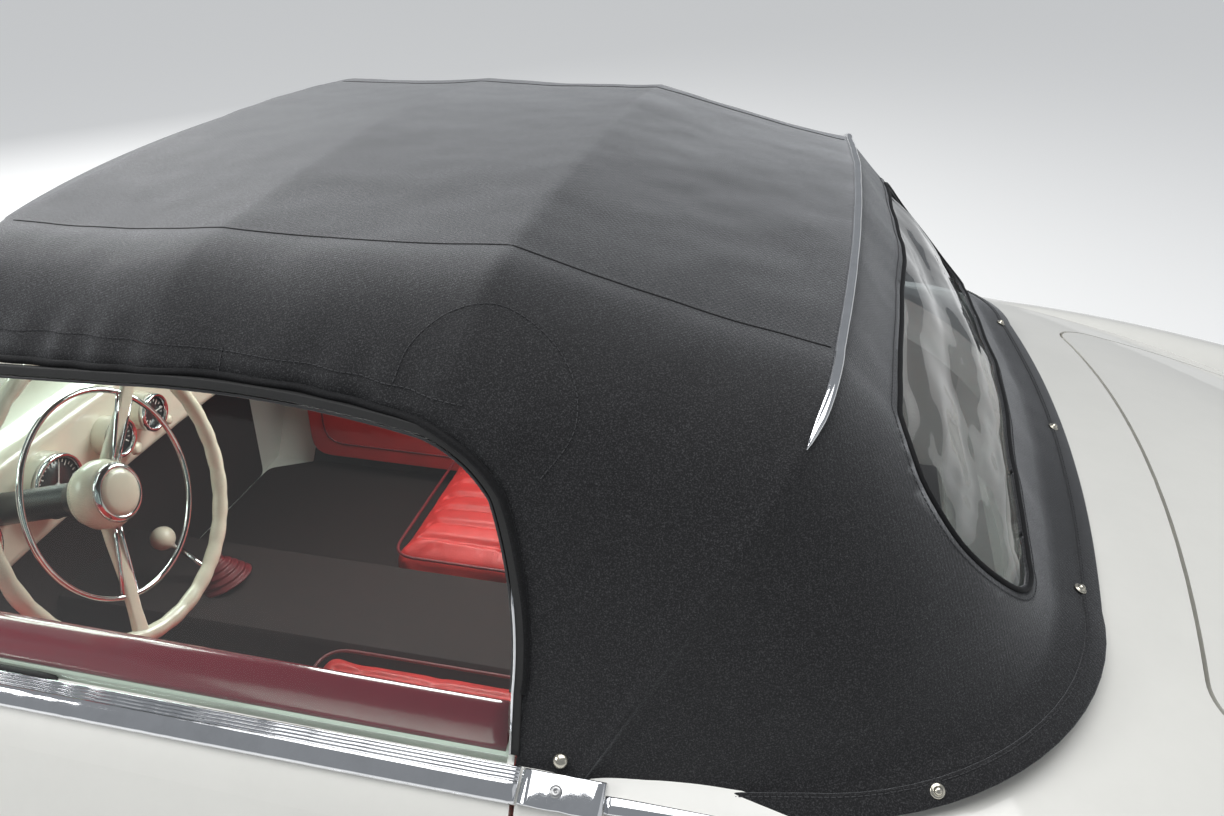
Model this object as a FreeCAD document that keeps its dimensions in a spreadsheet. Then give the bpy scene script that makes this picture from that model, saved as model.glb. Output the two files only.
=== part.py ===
# Two-seat convertible car with its cloth top raised.
# Frame: +X forward, +Y to the left (driver's) side, +Z up, origin on the ground under the middle of the car.
# All lengths are in millimetres and all angles in degrees.
import FreeCAD
import Part
import math
import os

V = FreeCAD.Vector
DOC = FreeCAD.newDocument("convertible_car")
SHEET = DOC.addObject("Spreadsheet::Sheet", "dims")

# Driving dimensions: alias, value, what it is.
DIMENSIONS = (
    ("front_axle_x", 1351, "front axle ahead of the origin"),
    ("wheelbase", 2400, "between the axles"),
    ("track", 1440, "between the tyres' middles, front and rear"),
    ("tyre_radius", 320, "tyre outside"),
    ("tyre_width", 162, "tyre section"),
    ("rim_radius", 178, "rim flange outside"),
    ("rim_width", 132, "over the rim flanges"),
    ("hub_bore_radius", 20, "wheel bearing bore"),
    ("running_clearance", 0.1, "radial, pin to bore"),
    ("pivot_gap", 0.5, "axial, beside a pivot"),
    ("kingpin_offset", 88, "kingpin inboard of the tyre's middle"),
    ("kingpin_radius", 11, "kingpin"),
    ("well_radius", 376, "wheel arch"),
    ("front_well_inner_y", 432, "inner wall of the front wheel house"),
    ("rear_well_inner_y", 600, "inner wall of the rear wheel house"),
    ("brow_length", 430, "half length of the brow over each arch"),
    ("brow_height", 30, "half height of the brow"),
    ("brow_depth", 44, "half depth of the brow"),
    ("brow_y", 826, "middle of the brow"),
    ("brow_z", 704, "middle of the brow"),
    ("side_wall", 75, "door and side wall"),
    ("lid_wall", 25, "bonnet and boot lid"),
    ("floor_wall", 30, "floor pan"),
    ("shut_gap", 5, "gap round doors and lids"),
    ("door_front_x", 538, "front edge of the door opening"),
    ("door_hinge_y", 853, "door hinge line"),
    ("hinge_pin_radius", 3, "door hinge pin"),
    ("hinge_barrel_radius", 6, "door hinge barrel"),
    ("hinge_low_z", 446, "door hinge, lower end"),
    ("hinge_high_z", 594, "door hinge, upper end"),
    ("door_sweep", 1031, "hinge line to the rear edge of the door"),
    ("sill_top_z", 272, "top of the sill under the door"),
    ("floor_rear_x", -498, "rear end of the floor pan"),
    ("socket_radius", 12, "jack sockets under the sills"),
    ("socket_y", 722, "jack sockets under the sills"),
    ("cabin_half_width", 635, "cabin opening at the belt"),
    ("firewall_x", 640, "rear face of the firewall"),
    ("firewall_thickness", 40, "firewall"),
    ("kickup_x", -700, "front of the raised rear floor"),
    ("kickup_z", 520, "raised rear floor"),
    ("shelf_half_width", 560, "raised rear floor"),
    ("tunnel_width", 230, "gearbox tunnel"),
    ("tunnel_height", 190, "gearbox tunnel"),
    ("tunnel_wall", 20, "gearbox tunnel"),
    ("boot_floor_z", 420, "boot floor"),
    ("boot_half_width", 540, "boot space"),
    ("boot_front_x", -1150, "boot space"),
    ("boot_rear_x", -1955, "boot space"),
    ("bay_half_width", 392, "engine bay"),
    ("bay_front_x", 1866, "engine bay"),
    ("arm_end_radius", 17, "suspension arm ends round the kingpin"),
    ("bay_ledge_z", 706, "top of the inner wings"),
    ("bay_ledge_half_width", 484, "engine bay above the inner wings"),
    ("grille_half_width", 345, "grille mouth"),
    ("grille_z", 510, "grille mouth, middle"),
    ("grille_half_height", 88, "grille mouth"),
    ("grille_face_x", 2022, "face of the grille bars"),
    ("lamp_y", 612, "headlamp"),
    ("lamp_z", 640, "headlamp"),
    ("lamp_x", 1952, "headlamp bezel seat"),
    ("lamp_radius", 104, "headlamp bezel"),
    ("tail_lamp_y", 612, "tail lamp"),
    ("tail_lamp_z", 640, "tail lamp"),
    ("tail_lamp_x", -1996, "tail lamp seat"),
    ("tail_lamp_radius", 60, "tail lamp"),
    ("bumper_height", 96, "bumper bar"),
    ("bumper_thickness", 26, "bumper bar"),
    ("bumper_z", 400, "bumper bar, middle"),
    ("bumper_half_width", 800, "bumper bar"),
    ("front_bumper_x", 2145, "foremost point"),
    ("rear_bumper_x", -2145, "rearmost point"),
    ("glass_thickness", 5, "door glass and windscreen"),
    ("glass_belt_y", 693, "door glass at the belt"),
    ("belt_z", 885, "belt line"),
    ("glass_lean", 0.27, "inward lean of the door glass"),
    ("glass_rear_x", -474, "rear edge of the door glass"),
    ("glass_top_z", 1197, "top edge of the door glass"),
    ("glass_drop", 45, "glass below the belt"),
    ("cloth_wall", 9, "cloth top with its lining"),
    ("cloth_gap", 13, "cloth edge to door glass"),
    ("screen_wall", 22, "windscreen frame"),
    ("screen_rail", 26, "width of the windscreen frame's rails"),
    ("wheel_x", 213, "steering wheel centre"),
    ("driver_y", 350, "steering wheel and seats"),
    ("wheel_z", 864, "steering wheel centre"),
    ("wheel_tilt", 16.3, "column below the level"),
    ("steering_radius", 208, "steering wheel rim, middle line"),
    ("steering_rim", 11.5, "section radius of the rim"),
    ("shaft_radius", 11, "steering shaft"),
    ("seat_width", 456, "seat cushion"),
    ("cushion_depth", 500, "seat cushion, fore and aft"),
    ("cushion_height", 190, "seat cushion"),
    ("cushion_z", 246.2, "underside of the cushion"),
    ("cushion_rear_x", -420, "rear edge of the cushion"),
    ("back_height", 450, "seat back"),
    ("back_thickness", 120, "seat back"),
    ("back_lean", 18, "seat back from the upright"),
    ("back_setback", 3, "seat back behind the rear edge of the cushion"),
    ("back_foot_z", 271.5, "underside of the seat back"),
    ("casing_radius", 118, "gear casing of the rear axle"),
)


def fill_sheet():
    for row, (alias, value, note) in enumerate(DIMENSIONS, start=1):
        SHEET.set(f"A{row}", alias)
        SHEET.set(f"B{row}", str(value))
        SHEET.set(f"C{row}", note)
        SHEET.setAlias(f"B{row}", alias)
    DOC.recompute()
    return {alias: float(getattr(SHEET, alias)) for alias, _, _ in DIMENSIONS}


D = fill_sheet()
FRONT_X = D["front_axle_x"]
REAR_X = D["front_axle_x"] - D["wheelbase"]
SIDES = {"left": 1, "right": -1}
PARTS = {}  # node name: document object

# Body form, cut across the car. Columns: station x, half width at the widest, its height, radius of the side,
# height of the crown, radius of the crown, radius of the shoulder, height of the underside.
STATIONS = (
    (2030, 440, 520, 200, 660, 1500, 90, 400),
    (2008, 575, 520, 260, 690, 1900, 95, 370),
    (1965, 680, 520, 330, 720, 2400, 105, 335),
    (1880, 760, 520, 420, 755, 3200, 115, 295),
    (1720, 820, 520, 480, 798, 4200, 130, 255),
    (1351, 852, 520, 520, 853, 4800, 145, 215),
    (900, 856, 520, 520, 905, 4800, 150, 215),
    (538, 857, 520, 520, 932, 4800, 155, 215),
    (0, 857, 520, 520, 940, 4500, 160, 215),
    (-498, 857, 520, 520, 936, 4500, 160, 215),
    (-1049, 856, 520, 520, 930, 3600, 160, 215),
    (-1400, 838, 520, 500, 885, 2700, 150, 240),
    (-1700, 795, 520, 450, 808, 2100, 140, 285),
    (-1900, 725, 505, 380, 728, 2300, 125, 325),
    (-2010, 630, 485, 300, 655, 2000, 110, 350),
    (-2060, 500, 470, 200, 590, 1800, 80, 390),
)

# Cloth top, hoop by hoop. Columns: hoop x, foot (y, height), end of the straight side, middle of the
# shoulder, start of the crown, height of the crown. Heights are along the hoop's plane.
HOOPS = (
    (345, (690, 830), (585, 1110), (520, 1195), (380, 1232), 1250),
    (200, (705, 830), (612, 1172), (545, 1250), (420, 1285), 1303),
    (-87, (712, 830), (622, 1178), (552, 1262), (425, 1298), 1320),
    (-411, (712, 830), (628, 1150), (556, 1258), (420, 1304), 1322),
)
BOW_FOOT_X, BOW_FOOT_Z = -526, 830  # foot of the rear bow, which the rear cloth also fans out from
BOW_HALF = ((712, 12), (634, 285), (560, 410), (430, 454), 481)
DECK_HALF = ((712, 12), (700, 250), (610, 480), (400, 560), 579)
BOW_ANGLE = 119.3  # rear bow, from straight ahead
DECK_ANGLE = 170.6  # hem on the deck, from straight ahead


def expression(obj, **sizes):
    """Binds properties of a document object to the sheet."""
    for name, text in sizes.items():
        obj.setExpression(name.replace("__", "."), text)
    return obj


def add(kind, name, base=None, **sizes):
    """A parametric primitive whose sizes and base point are expressions of the sheet."""
    obj = DOC.addObject(kind, name)
    expression(obj, **sizes)
    for axis, text in zip("xyz", base or ()):
        obj.setExpression(f"Placement.Base.{axis}", text)
    return obj


def box(name, length, width, height, base):
    return add("Part::Box", name, base, Length=length, Width=width, Height=height)


def bar(name, x0, x1, y0, y1, z0, z1):
    """A box between named or plain coordinates, as expressions."""
    return box(name, f"({x1}) - ({x0})", f"({y1}) - ({y0})", f"({z1}) - ({z0})", (x0, y0, z0))


def cylinder(name, radius, height, base, direction=V(0, 0, 1)):
    obj = add("Part::Cylinder", name, base, Radius=radius, Height=height)
    obj.Placement.Rotation = FreeCAD.Rotation(V(0, 0, 1), direction)
    return obj


def cone(name, radius1, radius2, height, base, direction=V(0, 0, 1)):
    obj = add("Part::Cone", name, base, Radius1=radius1, Radius2=radius2, Height=height)
    obj.Placement.Rotation = FreeCAD.Rotation(V(0, 0, 1), direction)
    return obj


def fuse(name, pieces):
    obj = DOC.addObject("Part::MultiFuse", name)
    obj.Shapes = pieces
    obj.Refine = True
    return obj


def cut(name, base, tool):
    obj = DOC.addObject("Part::Cut", name)
    obj.Base, obj.Tool = base, tool
    return obj


def mirrored(name, source):
    """The right-hand copy of a left-hand piece."""
    obj = DOC.addObject("Part::Mirroring", name)
    obj.Source = source
    obj.Normal = V(0, 1, 0)
    return obj


def feature(name, shape):
    obj = DOC.addObject("Part::Feature", name)
    obj.Shape = shape
    return obj


def keep(node, obj):
    """Names a finished sub-part."""
    obj.Label = node
    PARTS[node] = obj
    return obj


def keep_pair(stem, left):
    keep(f"{stem}_left", left)
    keep(f"{stem}_right", mirrored(f"{stem}_mirror", left))


def block(x0, x1, y0, y1, z0, z1):
    return Part.makeBox(x1 - x0, y1 - y0, z1 - z0, V(x0, y0, z0))


def mirror_y(shape):
    return shape.mirror(V(0, 0, 0), V(0, 1, 0))


def arc(a, b, c):
    return Part.Arc(a, b, c).toShape()


def line(a, b):
    return Part.LineSegment(a, b).toShape()


def sketch_on(body, role):
    """An empty sketch on one of the body's own origin planes."""
    sketch = body.newObject("Sketcher::SketchObject", f"{body.Name}_sketch")
    plane = next(f for f in body.Origin.OriginFeatures if f.Role == role)
    sketch.AttachmentSupport = [(plane, "")]
    sketch.MapMode = "FlatFace"
    return sketch


def closed_lines(sketch, outline):
    points = [V(a, b, 0) for a, b in outline]
    for a, b in zip(points, points[1:] + points[:1]):
        sketch.addGeometry(Part.LineSegment(a, b), False)


def revolved(name, outline, axis_role, base, turned_by=0):
    """A body turned from a closed outline about an axis of its own sketch, then placed at base."""
    body = DOC.addObject("PartDesign::Body", name)
    sketch = sketch_on(body, "XY_Plane")
    closed_lines(sketch, outline)
    turn = body.newObject("PartDesign::Revolution", f"{name}_turn")
    turn.Profile = sketch
    turn.ReferenceAxis = (sketch, [axis_role])
    turn.Angle = 360
    body.Placement.Rotation = FreeCAD.Rotation(V(0, 0, 1), turned_by)
    for axis, text in zip("xyz", base):
        body.setExpression(f"Placement.Base.{axis}", text)
    return body


# Body shell


def body_section(station, inset, floor_inset):
    """One closed section of the body, moved inwards by inset: tangent arcs over a flat underside."""
    x, half, width_z, side_r, crown_z, crown_r, shoulder_r, under_z = station
    side = (half - side_r, width_z)
    crown = (0.0, crown_z - crown_r)
    d1, d3 = side_r - shoulder_r, crown_r - shoulder_r
    span = math.hypot(side[0] - crown[0], side[1] - crown[1])
    along = (d1 * d1 - d3 * d3 + span * span) / (2 * span)
    off = math.sqrt(d1 * d1 - along * along)
    to = ((crown[0] - side[0]) / span, (crown[1] - side[1]) / span)
    shoulder = (side[0] + along * to[0] - off * to[1], side[1] + along * to[1] + off * to[0])
    if shoulder[0] < side[0]:
        shoulder = (side[0] + along * to[0] + off * to[1], side[1] + along * to[1] - off * to[0])
    side_angle = math.atan2(shoulder[1] - side[1], shoulder[0] - side[0])
    crown_angle = math.atan2(shoulder[1] - crown[1], shoulder[0] - crown[0])

    def at(centre, radius, angle, sign=1):
        return V(x, sign * (centre[0] + radius * math.cos(angle)), centre[1] + radius * math.sin(angle))

    r1, r2, r3 = side_r - inset, shoulder_r - inset, crown_r - inset
    low_angle = math.asin((under_z + floor_inset - width_z) / r1)
    mid_angle = (side_angle + crown_angle) / 2
    halves = {}
    for sign in (1, -1):
        low, mid, top = (at(side, r1, a, sign) for a in (low_angle, (low_angle + side_angle) / 2, side_angle))
        turn, start = at(shoulder, r2, mid_angle, sign), at(crown, r3, crown_angle, sign)
        halves[sign] = (low, mid, top, turn, start)
    low, mid, top, turn, start = halves[1]
    low2, mid2, top2, turn2, start2 = halves[-1]
    return Part.Wire([
        line(low2, low),
        arc(low, mid, top),
        arc(top, turn, start),
        arc(start, V(x, 0, crown_z - inset), start2),
        arc(start2, turn2, top2),
        arc(top2, mid2, low2),
    ])


def largest(shape):
    """The main solid of a cut, without the slivers that it leaves."""
    return max(shape.Solids, key=lambda solid: solid.Volume)


def body_form(inset=0.0, floor_inset=0.0):
    return Part.makeLoft([body_section(s, inset, floor_inset) for s in STATIONS], True, False)


def outline_wire(points, place):
    """A closed wire through (a, b) points, three of them together for an arc. place maps (a, b) to space."""
    edges = []
    for this, after in zip(points, points[1:] + points[:1]):
        start = this[-1] if isinstance(this[0], tuple) else this
        first = after[0] if isinstance(after[0], tuple) else after
        if start != first:
            edges.append(line(place(*start), place(*first)))
        if isinstance(after[0], tuple):
            edges.append(arc(*(place(*p) for p in after)))
    return Part.Wire(Part.__sortEdges__(edges))


def plan_prism(points, low, high, fillet=0.0, grow=0.0):
    """An upright prism of a plan outline with rounded corners, grown outwards on request."""
    solid = Part.Face(outline_wire(points, lambda x, y: V(x, y, low))).extrude(V(0, 0, high - low))
    if fillet:
        upright = [e for e in solid.Edges if abs(e.BoundBox.ZLength - (high - low)) < 1e-6]
        solid = solid.makeFillet(fillet, upright)
    if grow:
        bottom = next(f for f in solid.Faces if f.BoundBox.ZMax < low + 1e-3)
        wire = bottom.OuterWire.makeOffset2D(grow)
        solid = Part.Face(wire).extrude(V(0, 0, high - low))
    return solid


BONNET = (((1800, -330), (1862, 0), (1800, 330)), ((815, 470), (790, 0), (815, -470)))
BOOT = (((-1160, 520), (-1200, 0), (-1160, -520)), ((-1915, -450), (-1950, 0), (-1915, 450)))
CABIN_HALF = D["cabin_half_width"]
CABIN = (
    ((470, 600), (600, 0), (470, -600)),
    (470, -CABIN_HALF),
    (-560, -CABIN_HALF),
    ((-860, 25 - CABIN_HALF), (-1035, 0), (-860, CABIN_HALF - 25)),
    (-560, CABIN_HALF),
    (470, CABIN_HALF),
)
CORNER = 60  # corner radius of bonnet and boot lid


# Raised middle of the bonnet. Columns: station x, half width, foot height, height of its crown.
BULGE = ((1845, 120, 640, 768), (1500, 205, 700, 855), (1100, 250, 750, 912), (700, 270, 780, 940))
BULGE_CROWN = 40

# Wing crests. Columns: station x, y, z, radius.
LAMP_CREST = (D["lamp_x"], D["lamp_y"], D["lamp_z"], D["lamp_radius"])
TAIL_CREST = (D["tail_lamp_x"], D["tail_lamp_y"], D["tail_lamp_z"], D["tail_lamp_radius"] + 18)
FRONT_CREST = (LAMP_CREST, (1700, 640, 668, 118), (FRONT_X, 655, 705, 130), (900, 665, 738, 120))
REAR_CREST = ((-700, 640, 740, 110), (REAR_X, 645, 742, 125), (-1500, 640, 700, 118), TAIL_CREST)


def bonnet_bulge():
    """The raised middle of the bonnet."""
    sections = []
    for x, half, low, high in BULGE:
        right, left = V(x, -half, low), V(x, half, low)
        right_top, left_top = V(x, -half, high - BULGE_CROWN), V(x, half, high - BULGE_CROWN)
        crown = arc(right_top, V(x, 0, high), left_top)
        sections.append(Part.Wire([line(left, right), line(right, right_top), crown, line(left_top, left)]))
    return Part.makeLoft(sections, True, False)


def crest(points):
    """A rounded wing crest on one side, from circles of (x, y, z, radius)."""
    wires = [Part.Wire(Part.makeCircle(r, V(x, y, z), V(1, 0, 0))) for x, y, z, r in points]
    return Part.makeLoft(wires, True, False)


def build_shell():
    brows = []
    for x in (FRONT_X, REAR_X):
        brow = DOC.addObject("Part::Ellipsoid", "brow")
        expression(brow, Radius1="dims.brow_height", Radius2="dims.brow_length", Radius3="dims.brow_depth")
        brow.Angle1, brow.Angle2, brow.Angle3 = -90, 90, 360
        DOC.recompute()
        shape = brow.Shape.copy()
        shape.translate(V(x - 20, D["brow_y"], D["brow_z"]))
        brows.append(shape)
        DOC.removeObject(brow.Name)
    added = [crest(FRONT_CREST), crest(REAR_CREST)] + brows
    skin = body_form().fuse([bonnet_bulge()] + added + [mirror_y(s) for s in added])
    return skin.removeSplitter()


def wheel_wells():
    wells = []
    for x, inner in ((FRONT_X, D["front_well_inner_y"]), (REAR_X, D["rear_well_inner_y"])):
        drum = Part.makeCylinder(D["well_radius"], 950 - inner, V(x, inner, D["tyre_radius"]), V(0, 1, 0))
        below = block(x - D["well_radius"], x + D["well_radius"], inner, 950, 0, D["tyre_radius"])
        wells.append(drum.fuse(below))
    return Part.makeCompound(wells + [mirror_y(w) for w in wells])


def rounded_panel(half_width, half_height, x0, x1):
    """A slab across the grille mouth with rounded ends."""
    z0 = D["grille_z"]
    signs = ((1, 1), (-1, 1), (-1, -1), (1, -1), (1, 1))
    corners = [V(x0, s * half_width, z0 + t * half_height) for s, t in signs]
    slab = Part.Face(Part.makePolygon(corners)).extrude(V(x1 - x0, 0, 0))
    along = [e for e in slab.Edges if abs(e.BoundBox.XLength - (x1 - x0)) < 1e-6]
    return slab.makeFillet(half_height * 0.9, along)


def cabin_hollow(inner):
    """Footwells and raised rear floor, without the gearbox tunnel that stands in them."""
    half = D["tunnel_width"] / 2
    ahead = D["firewall_x"] + 60
    low = inner.common(block(D["kickup_x"], D["firewall_x"], -900, 900, 0, 1000))
    tunnel = block(D["kickup_x"], ahead, -half, half, 200, TUNNEL_TOP)
    shelf_half = D["shelf_half_width"]
    shelf = inner.common(block(-1020, D["kickup_x"], -shelf_half, shelf_half, D["kickup_z"], 1000))
    under_half = half - D["tunnel_wall"]
    under = block(-860, ahead, -under_half, under_half, 0, TUNNEL_TOP - D["tunnel_wall"])
    return [low.cut(tunnel), shelf, under, plan_prism(CABIN, 740, 1100)]


def engine_bay(inner):
    rear, front = D["firewall_x"] + D["firewall_thickness"], D["bay_front_x"]
    half, ledge_half = D["bay_half_width"], D["bay_ledge_half_width"]
    deep = inner.common(block(rear, front, -half, half, 0, 1000))
    high = inner.common(block(rear, front, -ledge_half, ledge_half, D["bay_ledge_z"], 1000))
    return [deep.fuse(high), block(rear, front - 160, -half, half, 0, 400)]


def boot_hollow(inner):
    half, step_x = D["boot_half_width"], -1300
    deep = inner.common(block(D["boot_rear_x"], step_x, -half, half, D["boot_floor_z"], 1000))
    high = inner.common(block(step_x, D["boot_front_x"], -half, half, D["kickup_z"], 1000))
    return [deep, high]


def build_body():
    skin = build_shell()
    inner_side = body_form(D["side_wall"], D["floor_wall"])
    inner_lid = body_form(D["lid_wall"], D["floor_wall"])
    axle_space = block(-1260, -840, -700, 700, 0, 470)
    mouth = rounded_panel(D["grille_half_width"], D["grille_half_height"], 1800, 2100)
    hollows = cabin_hollow(inner_side) + engine_bay(inner_lid) + boot_hollow(inner_lid)
    shell = skin.cut(hollows + [axle_space, mouth, wheel_wells()])
    return skin, largest(shell)


TUNNEL_TOP = 215 + D["tunnel_height"]
SKIN, SHELL = build_body()
HINGE_X = D["door_front_x"] - D["shut_gap"] / 2
HINGE_Y = D["door_hinge_y"]


def door_space(grow):
    """The left door opening: a cylinder round the hinge line, cut at the front, the sill and inside."""
    shift = D["shut_gap"] / 2 - grow
    base = V(HINGE_X, HINGE_Y, D["sill_top_z"] + shift)
    sweep = Part.makeCylinder(D["door_sweep"] + grow, 900, base, V(0, 0, 1))
    return sweep.common(block(-700, D["door_front_x"] - shift, 638 - grow, 1000, 0, 1200))


def build_panels():
    half_gap = D["shut_gap"] / 2
    door = largest(SHELL.common(door_space(-half_gap)))
    ledge = block(600, 1420, -600, 600, 0, D["bay_ledge_z"])
    bonnet = largest(SHELL.common(plan_prism(BONNET, 600, 1100, CORNER).cut(ledge)))
    boot = largest(SHELL.common(plan_prism(BOOT, 560, 1100, CORNER)))
    bonnet_space = plan_prism(BONNET, 600, 1100, CORNER, D["shut_gap"]).cut(ledge)
    spaces = [bonnet_space, plan_prism(BOOT, 560, 1100, CORNER, D["shut_gap"])]
    rest = SHELL.cut(spaces + [door_space(half_gap), mirror_y(door_space(half_gap))])
    lamps = [lamp_space("lamp", 1), lamp_space("tail_lamp", -1)]
    rest = rest.cut(lamps + [mirror_y(s) for s in lamps])
    cowl = block(440, D["door_front_x"], -640, 640, 600, 1000)
    ahead = block(D["door_front_x"], 2100, -1000, 1000, 0, 1200).fuse(cowl)
    front = rest.common(ahead)
    middle = largest(rest.common(block(D["floor_rear_x"], D["door_front_x"], -1000, 1000, 0, 600)))
    rear = rest.common(block(-2100, D["floor_rear_x"], -1000, 1000, 0, 1200))
    side_post = rest.common(block(D["floor_rear_x"], -400, -1000, 1000, 600, 1200))
    rear = rear.fuse([side_post, lid_flange(BOOT, 560)])
    on_body, on_door, bore, door_cuts, body_cut = hinge_pieces()
    door = door.cut(door_cuts).fuse(on_door).cut(bore)
    front = front.cut([body_cut, mirror_y(body_cut)])
    front = front.fuse([lid_flange(BONNET, 600), on_body, mirror_y(on_body)])
    bay_rear_x = D["firewall_x"] + D["firewall_thickness"]
    behind = block(400, bay_rear_x, -1000, 1000, 0, 1200)
    return {
        "door": door,
        "bonnet": bonnet,
        "boot_lid": boot,
        "cowl": largest(front.common(behind)),
        "body_front": largest(front.cut(behind)),
        "floor_pan": middle,
        "body_rear": rear,
    }


def lid_flange(outline, low):
    """The gutter under a lid's edge, welded to the body round it and 0.3 clear of the lid."""
    wall = D["lid_wall"]
    upper = body_form(wall + 0.3)
    lower = body_form(wall + 7)
    outer = plan_prism(outline, low, 1100, CORNER, D["shut_gap"] + 6)
    inner = plan_prism(outline, low, 1100, CORNER, -17)
    ring = outer.cut(inner)
    collar = outer.cut(plan_prism(outline, low, 1100, CORNER, D["shut_gap"])).common(body_form(wall - 5))
    return upper.common(ring).fuse(collar).cut(lower)


def hinge_rod(radius, low, high):
    return Part.makeCylinder(radius, high - low, V(HINGE_X, HINGE_Y, low))


def hinge_pieces():
    """Barrels on the door's hinge line: the outer two and the pin on the body, the middle one on the door."""
    radius, pin = D["hinge_barrel_radius"], D["hinge_pin_radius"]
    low, high = D["hinge_low_z"], D["hinge_high_z"]
    third = (high - low) / 3
    gap = D["pivot_gap"]
    lower, upper = low + third, high - third
    outer_barrels = [hinge_rod(radius, low, lower), hinge_rod(radius, upper, high)]
    on_body = hinge_rod(pin, low, high).fuse(outer_barrels)
    on_door = hinge_rod(radius, lower + gap, upper - gap)
    bore = hinge_rod(pin + D["running_clearance"] / 2, low, high)
    around = radius + 1
    door_space_cut = [hinge_rod(around, low - 1, lower + gap), hinge_rod(around, upper - gap, high + 1)]
    body_space_cut = hinge_rod(radius + D["shut_gap"], lower, upper)
    return on_body, on_door, bore, door_space_cut, body_space_cut


def lamp_space(stem, ahead):
    """The round notch in the wing that a lamp sits in."""
    base = V(D[f"{stem}_x"], D[f"{stem}_y"], D[f"{stem}_z"])
    return Part.makeCylinder(D[f"{stem}_radius"] + 3, 300, base, V(ahead, 0, 0))


PANELS = build_panels()


# Windscreen: a cylinder-like surface leaning back, its plan arc moved along one slanting direction
SCREEN_RADIUS = 1250
SCREEN_LEAN = 1.034  # back for each unit up
SCREEN_FOOT = (671, 900)  # x on the middle line at this height


def screen_region(shift):
    """Everything ahead of the windscreen's surface moved forwards by shift."""
    low = 780
    x0 = SCREEN_FOOT[0] + (SCREEN_FOOT[1] - low) * SCREEN_LEAN + shift
    sag = SCREEN_RADIUS - math.sqrt(SCREEN_RADIUS ** 2 - 760 ** 2)
    points = [((x0 - sag, -760), (x0, 0), (x0 - sag, 760)), (1700, 760), (1700, -760)]
    face = Part.Face(outline_wire(points, lambda x, y: V(x, y, low)))
    return face.extrude(V(-SCREEN_LEAN * 640, 0, 640))


RAIL = D["screen_rail"]
SCREEN_OUTER = [
    (-636, 860), (-636, 906), (-681, 908),
    ((-592, 1222), (0, 1252), (592, 1222)),
    (681, 908), (636, 906), (636, 860),
]
SCREEN_INNER = [
    (-606, 924),
    ((RAIL - 592, 1222 - RAIL), (0, 1252 - RAIL), (592 - RAIL, 1222 - RAIL)),
    (606, 924),
    ((606, 924), (0, 953), (-606, 924)),
]


def across_prism(points, x0, x1):
    """A prism along X of a (y, z) outline."""
    return Part.Face(outline_wire(points, lambda y, z: V(x0, y, z))).extrude(V(x1 - x0, 0, 0))


def build_screen():
    wall = D["screen_wall"]
    rear, ahead = screen_region(0), screen_region(wall)
    slab = rear.cut(ahead)
    outer = across_prism(SCREEN_OUTER, 0, 1000)
    inner = across_prism(SCREEN_INNER, 0, 1000)
    frame = slab.common(outer).cut([inner, SKIN])
    middle = wall / 2
    half = D["glass_thickness"] / 2
    glass = screen_region(middle - half).cut(screen_region(middle + half)).common(inner)
    return rear, frame, glass


SCREEN_AHEAD, SCREEN_FRAME, SCREEN_GLASS = build_screen()

# Door glass


def glass_outline(bottom, front):
    rear, belt, top = D["glass_rear_x"], D["belt_z"], D["glass_top_z"]
    return [
        (front, bottom), (rear, bottom), (rear, belt + 64),
        ((rear, belt + 64), (rear + 8, belt + 180), (rear + 27, belt + 247)),
        ((rear + 27, belt + 247), (rear + 57, belt + 278), (rear + 96, top - 15)),
        ((rear + 96, top - 15), (rear + 268, top + 3), (rear + 407, top + 1)),
        (140, top - 8), (240, top - 20), (front, top - 60),
    ]


def build_door_glass():
    lean = D["glass_lean"]
    thick = D["glass_thickness"]
    bottom = D["belt_z"] - D["glass_drop"]
    normal = V(0, 1, lean).normalize()

    def place(x, z):
        return V(x, D["glass_belt_y"] - lean * (z - D["belt_z"]), z) + normal * (-thick / 2)

    plate = Part.Face(outline_wire(glass_outline(bottom, 560), place)).extrude(normal * thick)
    return plate.cut(screen_region(-7))


DOOR_GLASS = build_door_glass()

# Cloth top


def hoop_points(half, place, wall, drop):
    """The half outline of a hoop moved inwards by wall, its foot lowered by drop, as points on both sides."""
    foot, side, shoulder, crown, top = half
    moved = (
        (foot[0] - wall, foot[1] - drop),
        (side[0] - wall, side[1] - wall * 0.3),
        (shoulder[0] - wall * 0.71, shoulder[1] - wall * 0.71),
        (crown[0] - wall * 0.3, crown[1] - wall),
    )
    left = [place(y, h) for y, h in moved]
    right = [place(-y, h) for y, h in moved]
    return left, right, place(0, top - wall)


def hoop_wire(half, place, wall=0.0, drop=0.0):
    left, right, top = hoop_points(half, place, wall, drop)
    return Part.Wire([
        line(right[0], left[0]),
        line(left[0], left[1]),
        arc(left[1], left[2], left[3]),
        arc(left[3], top, right[3]),
        arc(right[3], right[2], right[1]),
        line(right[1], right[0]),
    ])


def upright(x):
    return lambda y, h: V(x, y, h)


def fanned(degrees):
    c, s = math.cos(math.radians(degrees)), math.sin(math.radians(degrees))
    return lambda y, r: V(BOW_FOOT_X + r * c, y, BOW_FOOT_Z + r * s)


def cloth_form(wall, drop=0.0, ahead=0.0, below=0.0, hem=0.0):
    """The solid under the cloth's outer face, moved inwards by wall."""
    wires = []
    for index, (x, *half) in enumerate(HOOPS):
        station = x + (ahead if index == 0 else 0)
        wires.append(hoop_wire(half, upright(station), wall, drop))
    wires.append(hoop_wire(BOW_HALF, fanned(BOW_ANGLE), wall, drop * 0.6))
    foot, *bends, crown = DECK_HALF
    deck = (foot, *((y, r - hem) for y, r in bends), crown - hem)
    wires.append(hoop_wire(deck, fanned(DECK_ANGLE + below), wall, drop * 0.3))
    return Part.makeLoft(wires, True, True)


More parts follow.
